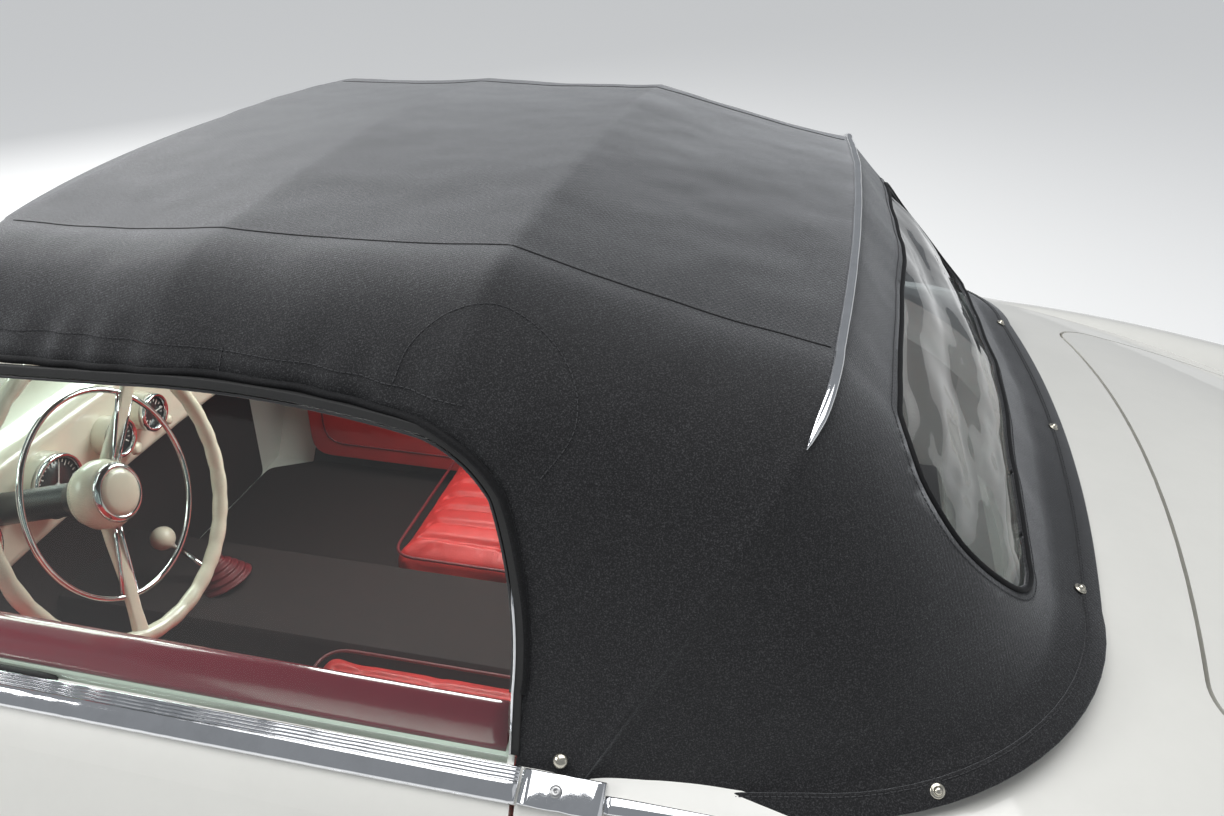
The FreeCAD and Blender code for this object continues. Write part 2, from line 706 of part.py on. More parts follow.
REAR_WINDOW = [
    ((-407, 1161), (0, 1184), (407, 1161)), ((407, 1161), (492, 1062), (424, 956)),
    ((424, 956), (0, 1006), (-424, 956)), ((-424, 956), (-492, 1062), (-407, 1161)),
]


def build_cloth():
    wall = D["cloth_wall"]
    outer = cloth_form(0)
    inner = cloth_form(wall, 40, 12, 3.5, 26)
    outline = outline_wire(glass_outline(760, 640), lambda x, z: V(x, 380, z)).makeOffset2D(D["cloth_gap"])
    side = Part.Face(outline).extrude(V(0, 560, 0))
    window = across_prism(REAR_WINDOW, -1200, -690)
    cloth = outer.cut([inner, side, mirror_y(side), window, SCREEN_AHEAD, SKIN])
    pane = cloth_form(2).cut(cloth_form(5, 20, 6, 2, 4)).common(window)
    rib_outer, rib_inner = cloth_form(wall + 0.3, 20, 6, 2, 30), cloth_form(wall + 14, 60, 30, 8, 60)
    ring = rib_outer.cut(rib_inner)
    slabs = [block(x - 11, x + 11, -700, 700, 1208, 1400) for x in (186, -87, -400)]
    rails = block(-400, 186, -700, 700, 1208, 1230)
    bows = ring.common(rails.fuse(slabs))
    return outer, cloth, pane, bows


CLOTH_OUTER, CLOTH, PANE, BOWS = build_cloth()
keep("windscreen_frame", feature("windscreen_frame_solid", SCREEN_FRAME))
keep("windscreen_glass", feature("windscreen_glass_solid", SCREEN_GLASS))
keep("soft_top", feature("soft_top_solid", CLOTH))
keep("rear_window", feature("rear_window_solid", PANE))
keep("top_bows", feature("top_bows_solid", BOWS))
keep("bonnet", feature("bonnet_solid", PANELS["bonnet"]))
keep("boot_lid", feature("boot_lid_solid", PANELS["boot_lid"]))
keep_pair("door", feature("door_solid", PANELS["door"].cut(DOOR_GLASS)))
keep_pair("door_glass", feature("door_glass_solid", DOOR_GLASS))


def build_bow_trim():
    """The polished half-round strip over the rear bow."""
    place = fanned(BOW_ANGLE)
    left, right, top = hoop_points(BOW_HALF, place, 0, 0)
    tip = (561, 401)
    path = Part.Wire([
        arc(place(*tip), left[2], left[3]),
        arc(left[3], top, right[3]),
        arc(right[3], right[2], place(-tip[0], tip[1])),
    ])
    start = path.Edges[0]
    tangent = start.tangentAt(start.FirstParameter)
    ring = Part.Wire(Part.makeCircle(7, start.valueAt(start.FirstParameter), tangent))
    return path.makePipeShell([ring], True, False).cut(CLOTH_OUTER)


keep("bow_trim", feature("bow_trim_solid", build_bow_trim()))

# Column and steering wheel, built along +Z and laid over
TILT = FreeCAD.Rotation(V(0, 1, 0), -(90 - D["wheel_tilt"]))
ON_COLUMN = FreeCAD.Placement(V(D["wheel_x"], D["driver_y"], D["wheel_z"]), TILT)
SPOKE_RISE = 0.115  # a spoke climbs this much for each unit outwards


def build_steering_wheel():
    """Rim, two spokes, hub with its cap, horn ring on two stays, and the shaft."""
    rim = add("Part::Torus", "wheel_rim", Radius1="dims.steering_radius", Radius2="dims.steering_rim")
    horn = add("Part::Torus", "horn_ring", ("0", "0", "-8"), Radius1="148", Radius2="4")
    hub = cone("wheel_hub", "46", "30", "46", ("0", "0", "-44"))
    ball = add("Part::Sphere", "cap_ball", ("0", "0", "-48"), Radius="60")
    round_cap = DOC.addObject("Part::Common", "hub_cap")
    round_cap.Base, round_cap.Tool = ball, cylinder("cap_edge", "34", "60", ("0", "0", "-30"))
    shaft = cylinder("wheel_shaft", "dims.shaft_radius", "150", ("0", "0", "-190"))
    pieces = [rim, horn, hub, round_cap, shaft]
    for name, sign in (("upper", 1), ("lower", -1)):
        outwards, across = V(sign, 0, SPOKE_RISE), V(0, sign, 0.05)
        reach = "dims.steering_radius - 3"
        pieces.append(cone(f"{name}_spoke", "13", "9", reach, ("0", "0", "-24"), outwards))
        pieces.append(cylinder(f"{name}_stay", "3.5", "120", ("0", f"{30 * sign}", "-14"), across))
    wheel = fuse("steering_wheel_solid", pieces)
    wheel.Placement = ON_COLUMN
    return wheel


def build_column():
    tube = cylinder("column_tube", "24", "210", ("0", "0", "-254.5"))
    collar = cone("column_collar", "26", "34", "30", ("0", "0", "-74.5"))
    bore = cylinder("column_bore", "dims.shaft_radius + dims.running_clearance", "160", ("0", "0", "-190.5"))
    column = cut("steering_column_solid", fuse("column_outside", [tube, collar]), bore)
    column.Placement = ON_COLUMN
    return column


keep("steering_wheel", build_steering_wheel())
keep("steering_column", build_column())


def build_dash():
    """The panel with its four round gauges, let over the column and against the cowl."""
    face, back = ((400, -592), (432, 0), (400, 592)), ((472, 592), (600, 0), (472, -592))
    panel = plan_prism([face, back[0], back, back[2]], 700, 872)
    rear = [e for e in panel.Edges if e.BoundBox.XMax < 440 and e.BoundBox.YLength > 900]
    panel = panel.makeFillet(22, rear)
    gauges = []
    for y, radius in ((D["driver_y"] + 88, 52), (D["driver_y"] - 88, 52), (110, 34), (20, 34)):
        gauges.append(Part.makeCylinder(radius, 60, V(404, y, 792), V(1, 0, 0)))
    column_space = Part.makeCylinder(24.3, 230, V(0, 0, -274.5))
    column_space.Placement = ON_COLUMN * column_space.Placement
    return largest(panel.fuse(gauges).cut([PANELS["cowl"], column_space]))


keep("dashboard", feature("dashboard_solid", build_dash()))

# Seats: soft blocks, the back leaning over the rear edge of the cushion
SEAT_FOOT = ("dims.cushion_rear_x", "{side} * dims.driver_y - dims.seat_width / 2", "dims.cushion_z")
BACK_FOOT = (
    "dims.cushion_rear_x - dims.back_setback - dims.back_thickness * cos(dims.back_lean)",
    "{side} * dims.driver_y - dims.seat_width / 2",
    "dims.back_foot_z - dims.back_thickness * sin(dims.back_lean)",
)


def soft_block(name, sizes, foot, sign, lean, radius):
    """A box with all its edges rounded, leaning back about its foot."""
    base = [text.format(side=sign) for text in foot]
    hard = box(f"{name}_block", *sizes, base)
    hard.Placement.Rotation = FreeCAD.Rotation(V(0, 1, 0), -lean)
    DOC.recompute()
    soft = DOC.addObject("Part::Fillet", f"{name}_solid")
    soft.Base = hard
    soft.Edges = [(i + 1, radius, radius) for i in range(len(hard.Shape.Edges))]
    return soft


for side, sign in SIDES.items():
    cushion_sizes = ("dims.cushion_depth", "dims.seat_width", "dims.cushion_height")
    back_sizes = ("dims.back_thickness", "dims.seat_width", "dims.back_height")
    cushion = soft_block(f"cushion_{side}", cushion_sizes, SEAT_FOOT, sign, 0, 38)
    back = soft_block(f"back_{side}", back_sizes, BACK_FOOT, sign, D["back_lean"], 42)
    keep(f"seat_cushion_{side}", cushion)
    keep(f"seat_back_{side}", back)


def build_gear_lever():
    """Knob and stick on a gaiter that stands on the tunnel."""
    foot, knob = V(370, 0, TUNNEL_TOP + 7), V(465, 0, 494)
    stick = cone("gear_stick", "9", "6", f"{(knob - foot).Length}", [str(c) for c in foot], knob - foot)
    gaiter = cone("gear_gaiter", "46", "14", "34", ("345", "0", str(TUNNEL_TOP)))
    ball = add("Part::Sphere", "gear_knob", [str(c) for c in knob], Radius="23")
    return fuse("gear_lever_solid", [ball, stick, gaiter])


keep("gear_lever", build_gear_lever())

# Wheels, turned about Y with +Y outboard: outlines of (out from the axle, along it)


def tyre_outline():
    outer, half = D["tyre_radius"], D["tyre_width"] / 2
    bead, bead_half = D["rim_radius"] - 11.7, D["rim_width"] / 2 - 7
    right = [
        (bead, bead_half), (bead + 14.7, bead_half), (bead + 33.7, half - 5), (outer - 80, half),
        (outer - 38, half - 3), (outer - 12, half - 15), (outer, half - 35),
    ]
    return right + [(out, -along) for out, along in reversed(right)]


def rim_outline():
    edge, half = D["rim_radius"], D["rim_width"] / 2
    bore = D["hub_bore_radius"]
    barrel = [(edge - 18, -half), (edge, -half), (edge, 6 - half), (edge - 12, 6 - half)]
    barrel += [(edge - 12, half - 6), (edge, half - 6), (edge, half), (edge - 18, half)]
    disc = [(edge - 22, 34), (118, 28), (90, 38), (84, 50), (58, 62), (20, 67), (0, 67)]
    hub = [(0, 40), (bore, 40), (bore, -30), (50, -30), (56, 16), (edge - 22, 16)]
    return barrel + disc + hub


for end, axle_x in (("front", "dims.front_axle_x"), ("rear", "dims.front_axle_x - dims.wheelbase")):
    for side, sign in SIDES.items():
        centre = (axle_x, f"{sign} * dims.track / 2", "dims.tyre_radius")
        turned_by = 0 if sign > 0 else 180
        for stem, outline in (("tyre", tyre_outline()), ("rim", rim_outline())):
            node = f"{stem}_{end}_{side}"
            keep(node, revolved(f"{node}_body", outline, "V_Axis", centre, turned_by))

# Running gear, the left half mirrored to the right; lengths along Y are from the middle of the car
ACROSS = V(0, 1, 0)
AHEAD = V(1, 0, 0)
REAR_AXLE_X = "dims.front_axle_x - dims.wheelbase"
TYRE_Y = "dims.track / 2"
PIN_Y = "(dims.track / 2 - dims.kingpin_offset)"


def spindle(stem, axle_x):
    """Spindle, shoulder and brake plate of one left wheel."""
    radius = "dims.hub_bore_radius - dims.running_clearance"
    start, middle = (axle_x, PIN_Y, "dims.tyre_radius"), (axle_x, f"{TYRE_Y} - 66", "dims.tyre_radius")
    pin = cylinder(f"{stem}_spindle", radius, f"{TYRE_Y} + 39.5 - {PIN_Y}", start, ACROSS)
    plate = cylinder(f"{stem}_plate", "120", "6", middle, ACROSS)
    shoulder = cylinder(f"{stem}_shoulder", "44", f"{TYRE_Y} - 31 - {PIN_Y}", start, ACROSS)
    return [pin, plate, shoulder]


def build_knuckle():
    """Spindle, kingpin boss and steering arm of the left front wheel."""
    axle_x = "dims.front_axle_x"
    boss = cylinder("kingpin_boss", "24", "116", (axle_x, PIN_Y, "262"))
    arm = bar("steering_arm", f"{axle_x} - 120", axle_x, f"{PIN_Y} - 10", f"{PIN_Y} + 10", "266", "284")
    bore_radius = "dims.kingpin_radius + dims.running_clearance"
    bore = cylinder("kingpin_bore", bore_radius, "200", (axle_x, PIN_Y, "220"))
    return cut("knuckle_solid", fuse("knuckle_outside", spindle("front", axle_x) + [boss, arm]), bore)


keep_pair("knuckle", build_knuckle())


def build_front_suspension():
    """Cross member with its towers, two arms a side and the kingpins."""
    axle_x, bay = "dims.front_axle_x", "dims.bay_half_width"

    def about(stem, half_length, y0, y1, z0, z1):
        return bar(stem, f"{axle_x} - {half_length}", f"{axle_x} + {half_length}", y0, y1, z0, z1)

    pieces = [about("cross_member", 45, "0", bay, "205", "255"), about("tower", 80, "350", bay, "225", "420")]
    arms = (("lower_arm", 26, "242", "261.5"), ("upper_arm", 22, "378.5", "394"))
    for stem, half_length, low, high in arms:
        pieces.append(about(stem, half_length, "380", PIN_Y, low, high))
        pieces.append(cylinder(f"{stem}_end", "dims.arm_end_radius", f"{high} - {low}", (axle_x, PIN_Y, low)))
    pieces.append(cylinder("kingpin", "dims.kingpin_radius", "150", (axle_x, PIN_Y, "243")))
    left = fuse("suspension_left", pieces)
    return fuse("front_suspension_solid", [left, mirrored("suspension_right", left)])


keep("front_suspension", build_front_suspension())


def build_rear_axle():
    """Axle tubes, gear casing, springs and spindles."""
    tube = cylinder("axle_tube", "38", f"{PIN_Y} + 10", (REAR_AXLE_X, "0", "dims.tyre_radius"), ACROSS)
    spring = cylinder("rear_spring", "46", "470 - dims.tyre_radius", (REAR_AXLE_X, "470", "dims.tyre_radius"))
    left = fuse("axle_left", [tube, spring] + spindle("rear", REAR_AXLE_X))
    middle = (REAR_AXLE_X, "0", "dims.tyre_radius")
    casing = add("Part::Sphere", "gear_casing", middle, Radius="dims.casing_radius")
    return fuse("rear_axle_solid", [left, mirrored("axle_right", left), casing])


keep("rear_axle", build_rear_axle())


def build_drivetrain():
    """Engine block with its mounts, gearbox and propeller shaft."""
    bay = "dims.bay_half_width"
    engine = bar("engine_block", "800", "1270", "-165", "165", "235", "790")
    mounts = bar("engine_mounts", "960", "1040", f"-{bay}", bay, "300", "340")
    gearbox = cylinder("gearbox", "88", "520", ("290", "0", "292"), AHEAD)
    rear_end = f"{REAR_AXLE_X} + dims.casing_radius + 0.2"
    shaft = cylinder("propeller_shaft", "28", f"300 - ({rear_end})", (rear_end, "0", "300"), AHEAD)
    return fuse("drivetrain_solid", [engine, mounts, gearbox, shaft])


keep("drivetrain", build_drivetrain())


def build_sockets():
    """Jack sockets bored up through the sills."""
    return [
        Part.makeCylinder(D["socket_radius"], D["sill_top_z"] + 10, V(x, sign * D["socket_y"], 0))
        for x in (420, -400)
        for sign in SIDES.values()
    ]


ARM_SPACE = [block(FRONT_X - 60, FRONT_X + 60, sign * 410 - 40, sign * 410 + 40, 0, 430) for sign in (1, -1)]
keep("body_front", feature("body_front_solid", PANELS["body_front"].cut(ARM_SPACE)))
keep("cowl", feature("cowl_solid", PANELS["cowl"]))
keep("floor_pan", feature("floor_pan_solid", PANELS["floor_pan"].cut(build_sockets())))
keep("body_rear", feature("body_rear_solid", PANELS["body_rear"]))


def build_exhaust():
    """Tail pipe through a silencer, hung from the floor pan."""
    pipe = cylinder("exhaust_pipe", "21", "2990", ("-2090", "-300", "180"), AHEAD)
    silencer = cylinder("silencer", "44", "560", ("-660", "-300", "160"), AHEAD)
    pieces = [pipe, silencer]
    for name, x in (("front_hanger", 250), ("rear_hanger", -450)):
        strap = bar(name, str(x), str(x + 30), "-312", "-288", "184", "220")
        pieces.append(cut(f"{name}_trimmed", strap, PARTS["floor_pan"]))
    return fuse("exhaust_solid", pieces)


keep("exhaust", build_exhaust())

# Bumpers
BUMPER_CURVE = ((-655, -92), (0, 0), (655, -92))
BUMPER_END = ((655, -92), (792, -152), (838, -262))
RIDER_Y = 430


def bumper_plan():
    """Plan outline of the bar's outer face: a long arc with rounded ends turned back."""
    other_end = tuple((-y, x) for y, x in reversed(BUMPER_END))
    return [BUMPER_CURVE, BUMPER_END, other_end[0], other_end]


def build_bumper(x0, ahead):
    """A bar with two over-riders and its brackets, cut where they meet the body."""
    low, high = D["bumper_z"] - D["bumper_height"] / 2, D["bumper_z"] + D["bumper_height"] / 2
    solid = Part.Face(outline_wire(bumper_plan(), lambda y, x: V(x, y, low))).extrude(V(0, 0, high - low))
    bottom = next(f for f in solid.Faces if f.BoundBox.ZMax < low + 1e-3)
    inner = Part.Face(bottom.OuterWire.makeOffset2D(-D["bumper_thickness"])).extrude(V(0, 0, high - low))
    back_x = BUMPER_END[-1][1]
    pieces = [solid.cut([inner, block(-300, back_x + D["bumper_thickness"] + 1, -900, 900, 0, 900)])]
    for y in (RIDER_Y, -RIDER_Y):
        rider = block(-80, 25, y - 29, y + 29, low - 46, high + 84)
        pieces.append(rider.makeFillet(20, rider.Edges))
        pieces.append(block(-190, -40, y - 20, y + 20, low + 24, low + 62))
    whole = pieces[0].fuse(pieces[1:])
    if not ahead:
        whole.rotate(V(0, 0, 0), V(0, 0, 1), 180)
    whole.translate(V(x0, 0, 0))
    return largest(whole.cut(SKIN))


keep("front_bumper", feature("front_bumper_solid", build_bumper(D["front_bumper_x"] - 25, True)))
keep("rear_bumper", feature("rear_bumper_solid", build_bumper(D["rear_bumper_x"] + 25, False)))

# Lamps, turned about X: outlines of (along, out)


def headlamp_outline():
    rim = D["lamp_radius"]
    return [(0, 0), (0, rim), (26, rim), (40, rim - 7), (42, rim - 16), (52, 60), (56, 30), (57, 0)]


def tail_lamp_outline():
    rim = D["tail_lamp_radius"]
    return [(0, 0), (0, rim), (22, rim), (30, rim - 8), (42, 34), (48, 14), (49, 0)]


LAMP_SEAT = ("dims.lamp_x", "dims.lamp_y", "dims.lamp_z")
TAIL_LAMP_SEAT = ("dims.tail_lamp_x", "dims.tail_lamp_y", "dims.tail_lamp_z")
keep_pair("headlamp", revolved("headlamp_body", headlamp_outline(), "H_Axis", LAMP_SEAT))
keep_pair("tail_lamp", revolved("tail_lamp_body", tail_lamp_outline(), "H_Axis", TAIL_LAMP_SEAT, 180))


def build_grille():
    """Rounded surround, thin level bars, one broad bar and a round boss in the middle."""
    half, tall, z0, face = D["grille_half_width"], D["grille_half_height"], D["grille_z"], D["grille_face_x"]
    outside = rounded_panel(half - 0.3, tall - 0.3, face - 60, face)
    surround = outside.cut(rounded_panel(half - 14, tall - 14, face - 80, face + 10))
    room = rounded_panel(half - 8, tall - 8, face - 80, face)
    bars = [block(face - 34, face - 20, 6 - half, half - 6, z0 + z - 3, z0 + z + 3) for z in GRILLE_BARS]
    bars.append(block(face - 36, face - 8, 6 - half, half - 6, z0 - 9, z0 + 9))
    boss = Part.makeCylinder(50, 34, V(face - 34, 0, z0), AHEAD)
    return surround.fuse([b.common(room) for b in bars] + [boss])


GRILLE_BARS = (-60, -40, -20, 20, 40, 60)  # heights of the thin bars from the middle
keep("grille", feature("grille_solid", build_grille()))


def export_all():
    DOC.recompute()
    problems = [o.Name for o in DOC.Objects if "Invalid" in o.State or "Error" in o.State]
    for node, obj in PARTS.items():
        shape = obj.Shape
        if shape.isNull() or not shape.isValid():
            problems.append(node)
    if problems:
        raise RuntimeError("not sound: " + ", ".join(problems))
    os.makedirs("parts", exist_ok=True)
    for node, obj in PARTS.items():
        obj.Shape.exportStep(f"parts/{node}.step")


export_all()
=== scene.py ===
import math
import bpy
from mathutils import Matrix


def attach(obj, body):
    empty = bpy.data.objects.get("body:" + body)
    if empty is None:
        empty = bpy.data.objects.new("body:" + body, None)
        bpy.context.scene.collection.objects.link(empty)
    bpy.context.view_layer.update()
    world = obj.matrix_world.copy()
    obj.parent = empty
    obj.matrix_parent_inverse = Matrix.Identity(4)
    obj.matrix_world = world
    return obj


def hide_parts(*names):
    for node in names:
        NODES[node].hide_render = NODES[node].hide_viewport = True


bl_info = {
    "name": "Convertible car dresser",
    "version": (1, 0, 0),
    "blender": (4, 5, 0),
    "location": "View3D > Sidebar > Convertible",
    "description": "Dresses the packed convertible car with cloth, paint, chrome, leather and glass",
    "category": "Object",
}

import bmesh
import bpy
import numpy as np
from mathutils import Matrix, Vector, noise
from mathutils.bvhtree import BVHTree

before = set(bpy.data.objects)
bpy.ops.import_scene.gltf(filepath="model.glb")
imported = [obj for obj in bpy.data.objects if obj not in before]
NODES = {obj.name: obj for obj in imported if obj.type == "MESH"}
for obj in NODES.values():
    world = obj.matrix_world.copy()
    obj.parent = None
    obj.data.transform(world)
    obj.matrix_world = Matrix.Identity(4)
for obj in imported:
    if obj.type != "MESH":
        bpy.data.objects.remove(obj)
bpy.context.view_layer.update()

# Camera: place, turn to the side, tilt down, roll, and focal length for a 36 mm wide sensor
CAMERA_AT = Vector((-0.719, 1.346, 1.647))
CAMERA_YAW, CAMERA_TILT, CAMERA_ROLL = 0.215, 0.502, 0.005
CAMERA_LENS = 29.27


def camera_axes():
    """Right, up and forward of the photograph's view."""
    level = Vector((math.sin(CAMERA_YAW), -math.cos(CAMERA_YAW), 0))
    ahead = level * math.cos(CAMERA_TILT) - Vector((0, 0, math.sin(CAMERA_TILT)))
    right = ahead.cross(Vector((0, 0, 1))).normalized()
    up = right.cross(ahead)
    turn = (math.cos(CAMERA_ROLL), math.sin(CAMERA_ROLL))
    return right * turn[0] + up * turn[1], up * turn[0] - right * turn[1], ahead


def placed(name, data):
    """A new object, linked to the scene."""
    obj = bpy.data.objects.new(name, data)
    bpy.context.scene.collection.objects.link(obj)
    return obj


def add_object(name, verts, faces, smooth=True):
    """A mesh object at the origin whose place is in its vertices."""
    mesh = bpy.data.meshes.new(name)
    mesh.from_pydata([tuple(v) for v in verts], [], [tuple(int(i) for i in f) for f in faces])
    mesh.update()
    if smooth:
        mesh.polygons.foreach_set("use_smooth", [True] * len(mesh.polygons))
    return placed(name, mesh)


def applied(obj):
    """The object with its modifiers baked into a plain mesh."""
    graph = bpy.context.evaluated_depsgraph_get()
    mesh = bpy.data.meshes.new_from_object(obj.evaluated_get(graph))
    old = obj.data
    obj.modifiers.clear()
    obj.data = mesh
    bpy.data.meshes.remove(old)
    return obj


def dress(obj, material, body="body", replaces=()):
    """Gives a piece its material, its body and the CAD nodes that it stands for."""
    obj.data.materials.clear()
    obj.data.materials.append(material)
    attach(obj, body)
    if replaces:
        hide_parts(*replaces)
    return obj


def mirrored_copy(obj, name):
    """The right-hand twin of a left-hand piece, its faces turned outwards again."""
    mesh = obj.data.copy()
    mesh.transform(Matrix.Diagonal((1, -1, 1, 1)))
    mesh.flip_normals()
    return placed(name, mesh)


def frames_along(path, closed=False, up=None):
    """Side and upper directions at each point of a path, turned as little as possible or kept to up."""
    n = len(path)
    tangents = []
    for i in range(n):
        before = path[(i - 1) % n] if closed or i else path[0]
        after = path[(i + 1) % n] if closed or i < n - 1 else path[-1]
        tangents.append((after - before).normalized())
    if up is None:
        first = Vector((0, 0, 1)) if abs(tangents[0].z) < 0.9 else Vector((1, 0, 0))
    ups = []
    for i, along in enumerate(tangents):
        guide = up[i] if up is not None else (first if i == 0 else ups[-1])
        ups.append((guide - along * guide.dot(along)).normalized())
    return [(a.cross(b), b) for a, b in zip(tangents, ups)]


def tube_faces(rings, m, closed=False):
    """Four-sided faces between rings of m points each; a closed tube joins its last ring to its first."""
    faces = []
    for i in range(rings if closed else rings - 1):
        j = (i + 1) % rings
        faces += [(i * m + a, i * m + (a + 1) % m, j * m + (a + 1) % m, j * m + a) for a in range(m)]
    return faces


def tube(name, verts, m, closed=False, merge=0.0):
    """A tube through rings of m points, capped at both ends unless it is closed."""
    rings = len(verts) // m
    faces = tube_faces(rings, m, closed)
    if not closed:
        faces += [tuple(reversed(range(m))), tuple(range((rings - 1) * m, rings * m))]
    return mended(add_object(name, verts, faces), merge)


def mended(obj, merge=0.0):
    """The object with its faces turned outwards, and its double points merged on request."""
    bm = bmesh.new()
    bm.from_mesh(obj.data)
    if merge:
        bmesh.ops.remove_doubles(bm, verts=bm.verts, dist=merge)
    bmesh.ops.recalc_face_normals(bm, faces=bm.faces)
    bm.to_mesh(obj.data)
    bm.free()
    return obj


def sweep(name, path, profile, closed=False, up=None, scale=None):
    """A closed profile of (side, up) pairs swept along a path and capped at both ends."""
    path = [Vector(p) for p in path]
    if isinstance(up, Vector):
        up = [up] * len(path)
    verts = []
    for i, (point, (side, over)) in enumerate(zip(path, frames_along(path, closed, up))):
        k = scale[i] if scale is not None else 1.0
        verts += [point + side * (a * k) + over * (b * k) for a, b in profile]
    return tube(name, verts, len(profile), closed)


def ring(radius, count=12, flat=1.0):
    """A round or flattened profile for sweep."""
    turns = np.linspace(0, 2 * math.pi, count, endpoint=False)
    return [(radius * math.cos(a), radius * flat * math.sin(a)) for a in turns]


def lathe(name, outline, origin, axis, segments=48, closed=False):
    """A turned piece: outline is (along, radius) pairs from one end of the axis to the other."""
    turn = Vector(axis).to_track_quat("Z", "Y").to_matrix()
    verts = []
    for along, radius in outline:
        for k in range(segments):
            a = 2 * math.pi * k / segments
            verts.append(Vector(origin) + turn @ Vector((radius * math.cos(a), radius * math.sin(a), along)))
    return tube(name, verts, segments, closed, 0.0 if closed else 1e-6)


def turned_ring(name, outline, origin, axis, segments=64):
    """A ring turned about an axis from a closed outline of (along, radius) pairs."""
    return lathe(name, outline, origin, axis, segments, closed=True)


def joined(name, objects):
    """Several meshes as one object."""
    bm = bmesh.new()
    for obj in objects:
        bm.from_mesh(obj.data)
        bpy.data.objects.remove(obj)
    mesh = bpy.data.meshes.new(name)
    bm.to_mesh(mesh)
    bm.free()
    return placed(name, mesh)


def arc_points(a, b, c, count):
    """Points along the circular arc from a over b to c, two-dimensional."""
    (ax, ay), (bx, by), (cx, cy) = a, b, c
    d = 2 * (ax * (by - cy) + bx * (cy - ay) + cx * (ay - by))
    sa, sb, sc = ax * ax + ay * ay, bx * bx + by * by, cx * cx + cy * cy
    ux = (sa * (by - cy) + sb * (cy - ay) + sc * (ay - by)) / d
    uy = (sa * (cx - bx) + sb * (ax - cx) + sc * (bx - ax)) / d
    r = math.hypot(ax - ux, ay - uy)
    t0, t1, t2 = (math.atan2(y - uy, x - ux) for x, y in (a, b, c))
    span = (t2 - t0) % (2 * math.pi)
    if (t1 - t0) % (2 * math.pi) > span:
        span -= 2 * math.pi
    turns = [t0 + span * k / count for k in range(count + 1)]
    return [(ux + r * math.cos(t), uy + r * math.sin(t)) for t in turns]


def resample(points, step):
    """Evenly spaced points along a polyline."""
    pts = np.array([tuple(p) for p in points], float)
    lengths = np.linalg.norm(np.diff(pts, axis=0), axis=1)
    at = np.concatenate([[0], np.cumsum(lengths)])
    count = max(2, int(round(at[-1] / step)) + 1)
    want = np.linspace(0, at[-1], count)
    return np.stack([np.interp(want, at, pts[:, k]) for k in range(pts.shape[1])], axis=1)


def smooth_path(points, step):
    """A Catmull-Rom curve through the points, evenly resampled."""
    pts = np.array([tuple(p) for p in points], float)
    ext = np.vstack([2 * pts[0] - pts[1], pts, 2 * pts[-1] - pts[-2]])
    out = []
    for i in range(1, len(ext) - 2):
        p0, p1, p2, p3 = ext[i - 1:i + 3]
        square, cube = 2 * p0 - 5 * p1 + 4 * p2 - p3, 3 * p1 - p0 - 3 * p2 + p3
        for t in np.linspace(0, 1, 24, endpoint=False):
            out.append(0.5 * (2 * p1 + (p2 - p0) * t + square * t * t + cube * t ** 3))
    out.append(pts[-1])
    return resample(out, step)


def tree_of(obj):
    """A search tree of an object's faces."""
    bm = bmesh.new()
    bm.from_mesh(obj.data)
    tree = BVHTree.FromBMesh(bm)
    bm.free()
    return tree


def hit_on(tree, start, toward):
    """Where a line first meets a surface, and the normal there that faces the line's start."""
    toward = Vector(toward)
    point, normal = tree.ray_cast(Vector(start), toward)[:2]
    if point is None:
        raise RuntimeError(f"nothing ahead of {tuple(start)}")
    return point, -normal if normal.dot(toward) > 0 else normal


def from_side(tree, x, z, sign=1):
    return hit_on(tree, (x, sign * 1.5, z), (0, -sign, 0))


def from_above(tree, x, y):
    return hit_on(tree, (x, y, 2.0), (0, 0, -1))


def from_behind(tree, y, z):
    return hit_on(tree, (-2.5, y, z), (1, 0, 0))


def raised(hit, lift):
    """The point of a hit moved out of the surface."""
    return hit[0] + hit[1] * lift


def evened(directions, rounds):
    """Unit directions along a path, each drawn towards its neighbours."""
    last = len(directions) - 1
    for _ in range(rounds):
        old = directions
        near = [(old[max(i - 1, 0)], n, old[min(i + 1, last)]) for i, n in enumerate(old)]
        directions = [(before + n + after).normalized() for before, n, after in near]
    return directions


def rounded(points, radius, count=5):
    """A closed outline with its corners rounded off."""
    out = []
    n = len(points)
    for i in range(n):
        before, corner, after = (np.array(points[(i + k) % n], float) for k in (-1, 0, 1))
        back, ahead = before - corner, after - corner
        room = min(radius, np.linalg.norm(back) * 0.45, np.linalg.norm(ahead) * 0.45)
        start = corner + back / np.linalg.norm(back) * room
        end = corner + ahead / np.linalg.norm(ahead) * room
        for t in np.linspace(0, 1, count):
            out.append(tuple(start * (1 - t) ** 2 + corner * 2 * t * (1 - t) + end * t * t))
    return out


def panel(a0, b0, a1, b1, radius, count=5):
    """A rectangle's outline with rounded corners."""
    return rounded([(a0, b0), (a1, b0), (a1, b1), (a0, b1)], radius, count)


def plate(name, outline, place, thickness, bevel=0.0):
    """A flat piece: an outline of (a, b) set in space by place(a, b, depth), bevelled on request."""
    n = len(outline)
    verts = [Vector(place(a, b, depth)) for depth in (0.0, thickness) for a, b in outline]
    faces = [tuple(range(n)), tuple(range(2 * n - 1, n - 1, -1))]
    faces += [(i, (i + 1) % n, n + (i + 1) % n, n + i) for i in range(n)]
    obj = mended(add_object(name, verts, faces, smooth=bevel > 0))
    if bevel:
        edge = obj.modifiers.new("bevel", "BEVEL")
        edge.width, edge.segments, edge.limit_method = bevel, 3, "ANGLE"
        edge.angle_limit = math.radians(50)
        edge.harden_normals = True
        applied(obj)
    return obj


def dome(radius, height, count=10, base=0.0):
    """A dome's outline for lathe, from its rim to its crown."""
    turns = np.linspace(0, math.pi / 2, count)[:-1]
    return [(base + height * math.sin(t), radius * math.cos(t)) for t in turns] + [(base + height, 0.0005)]


# Materials


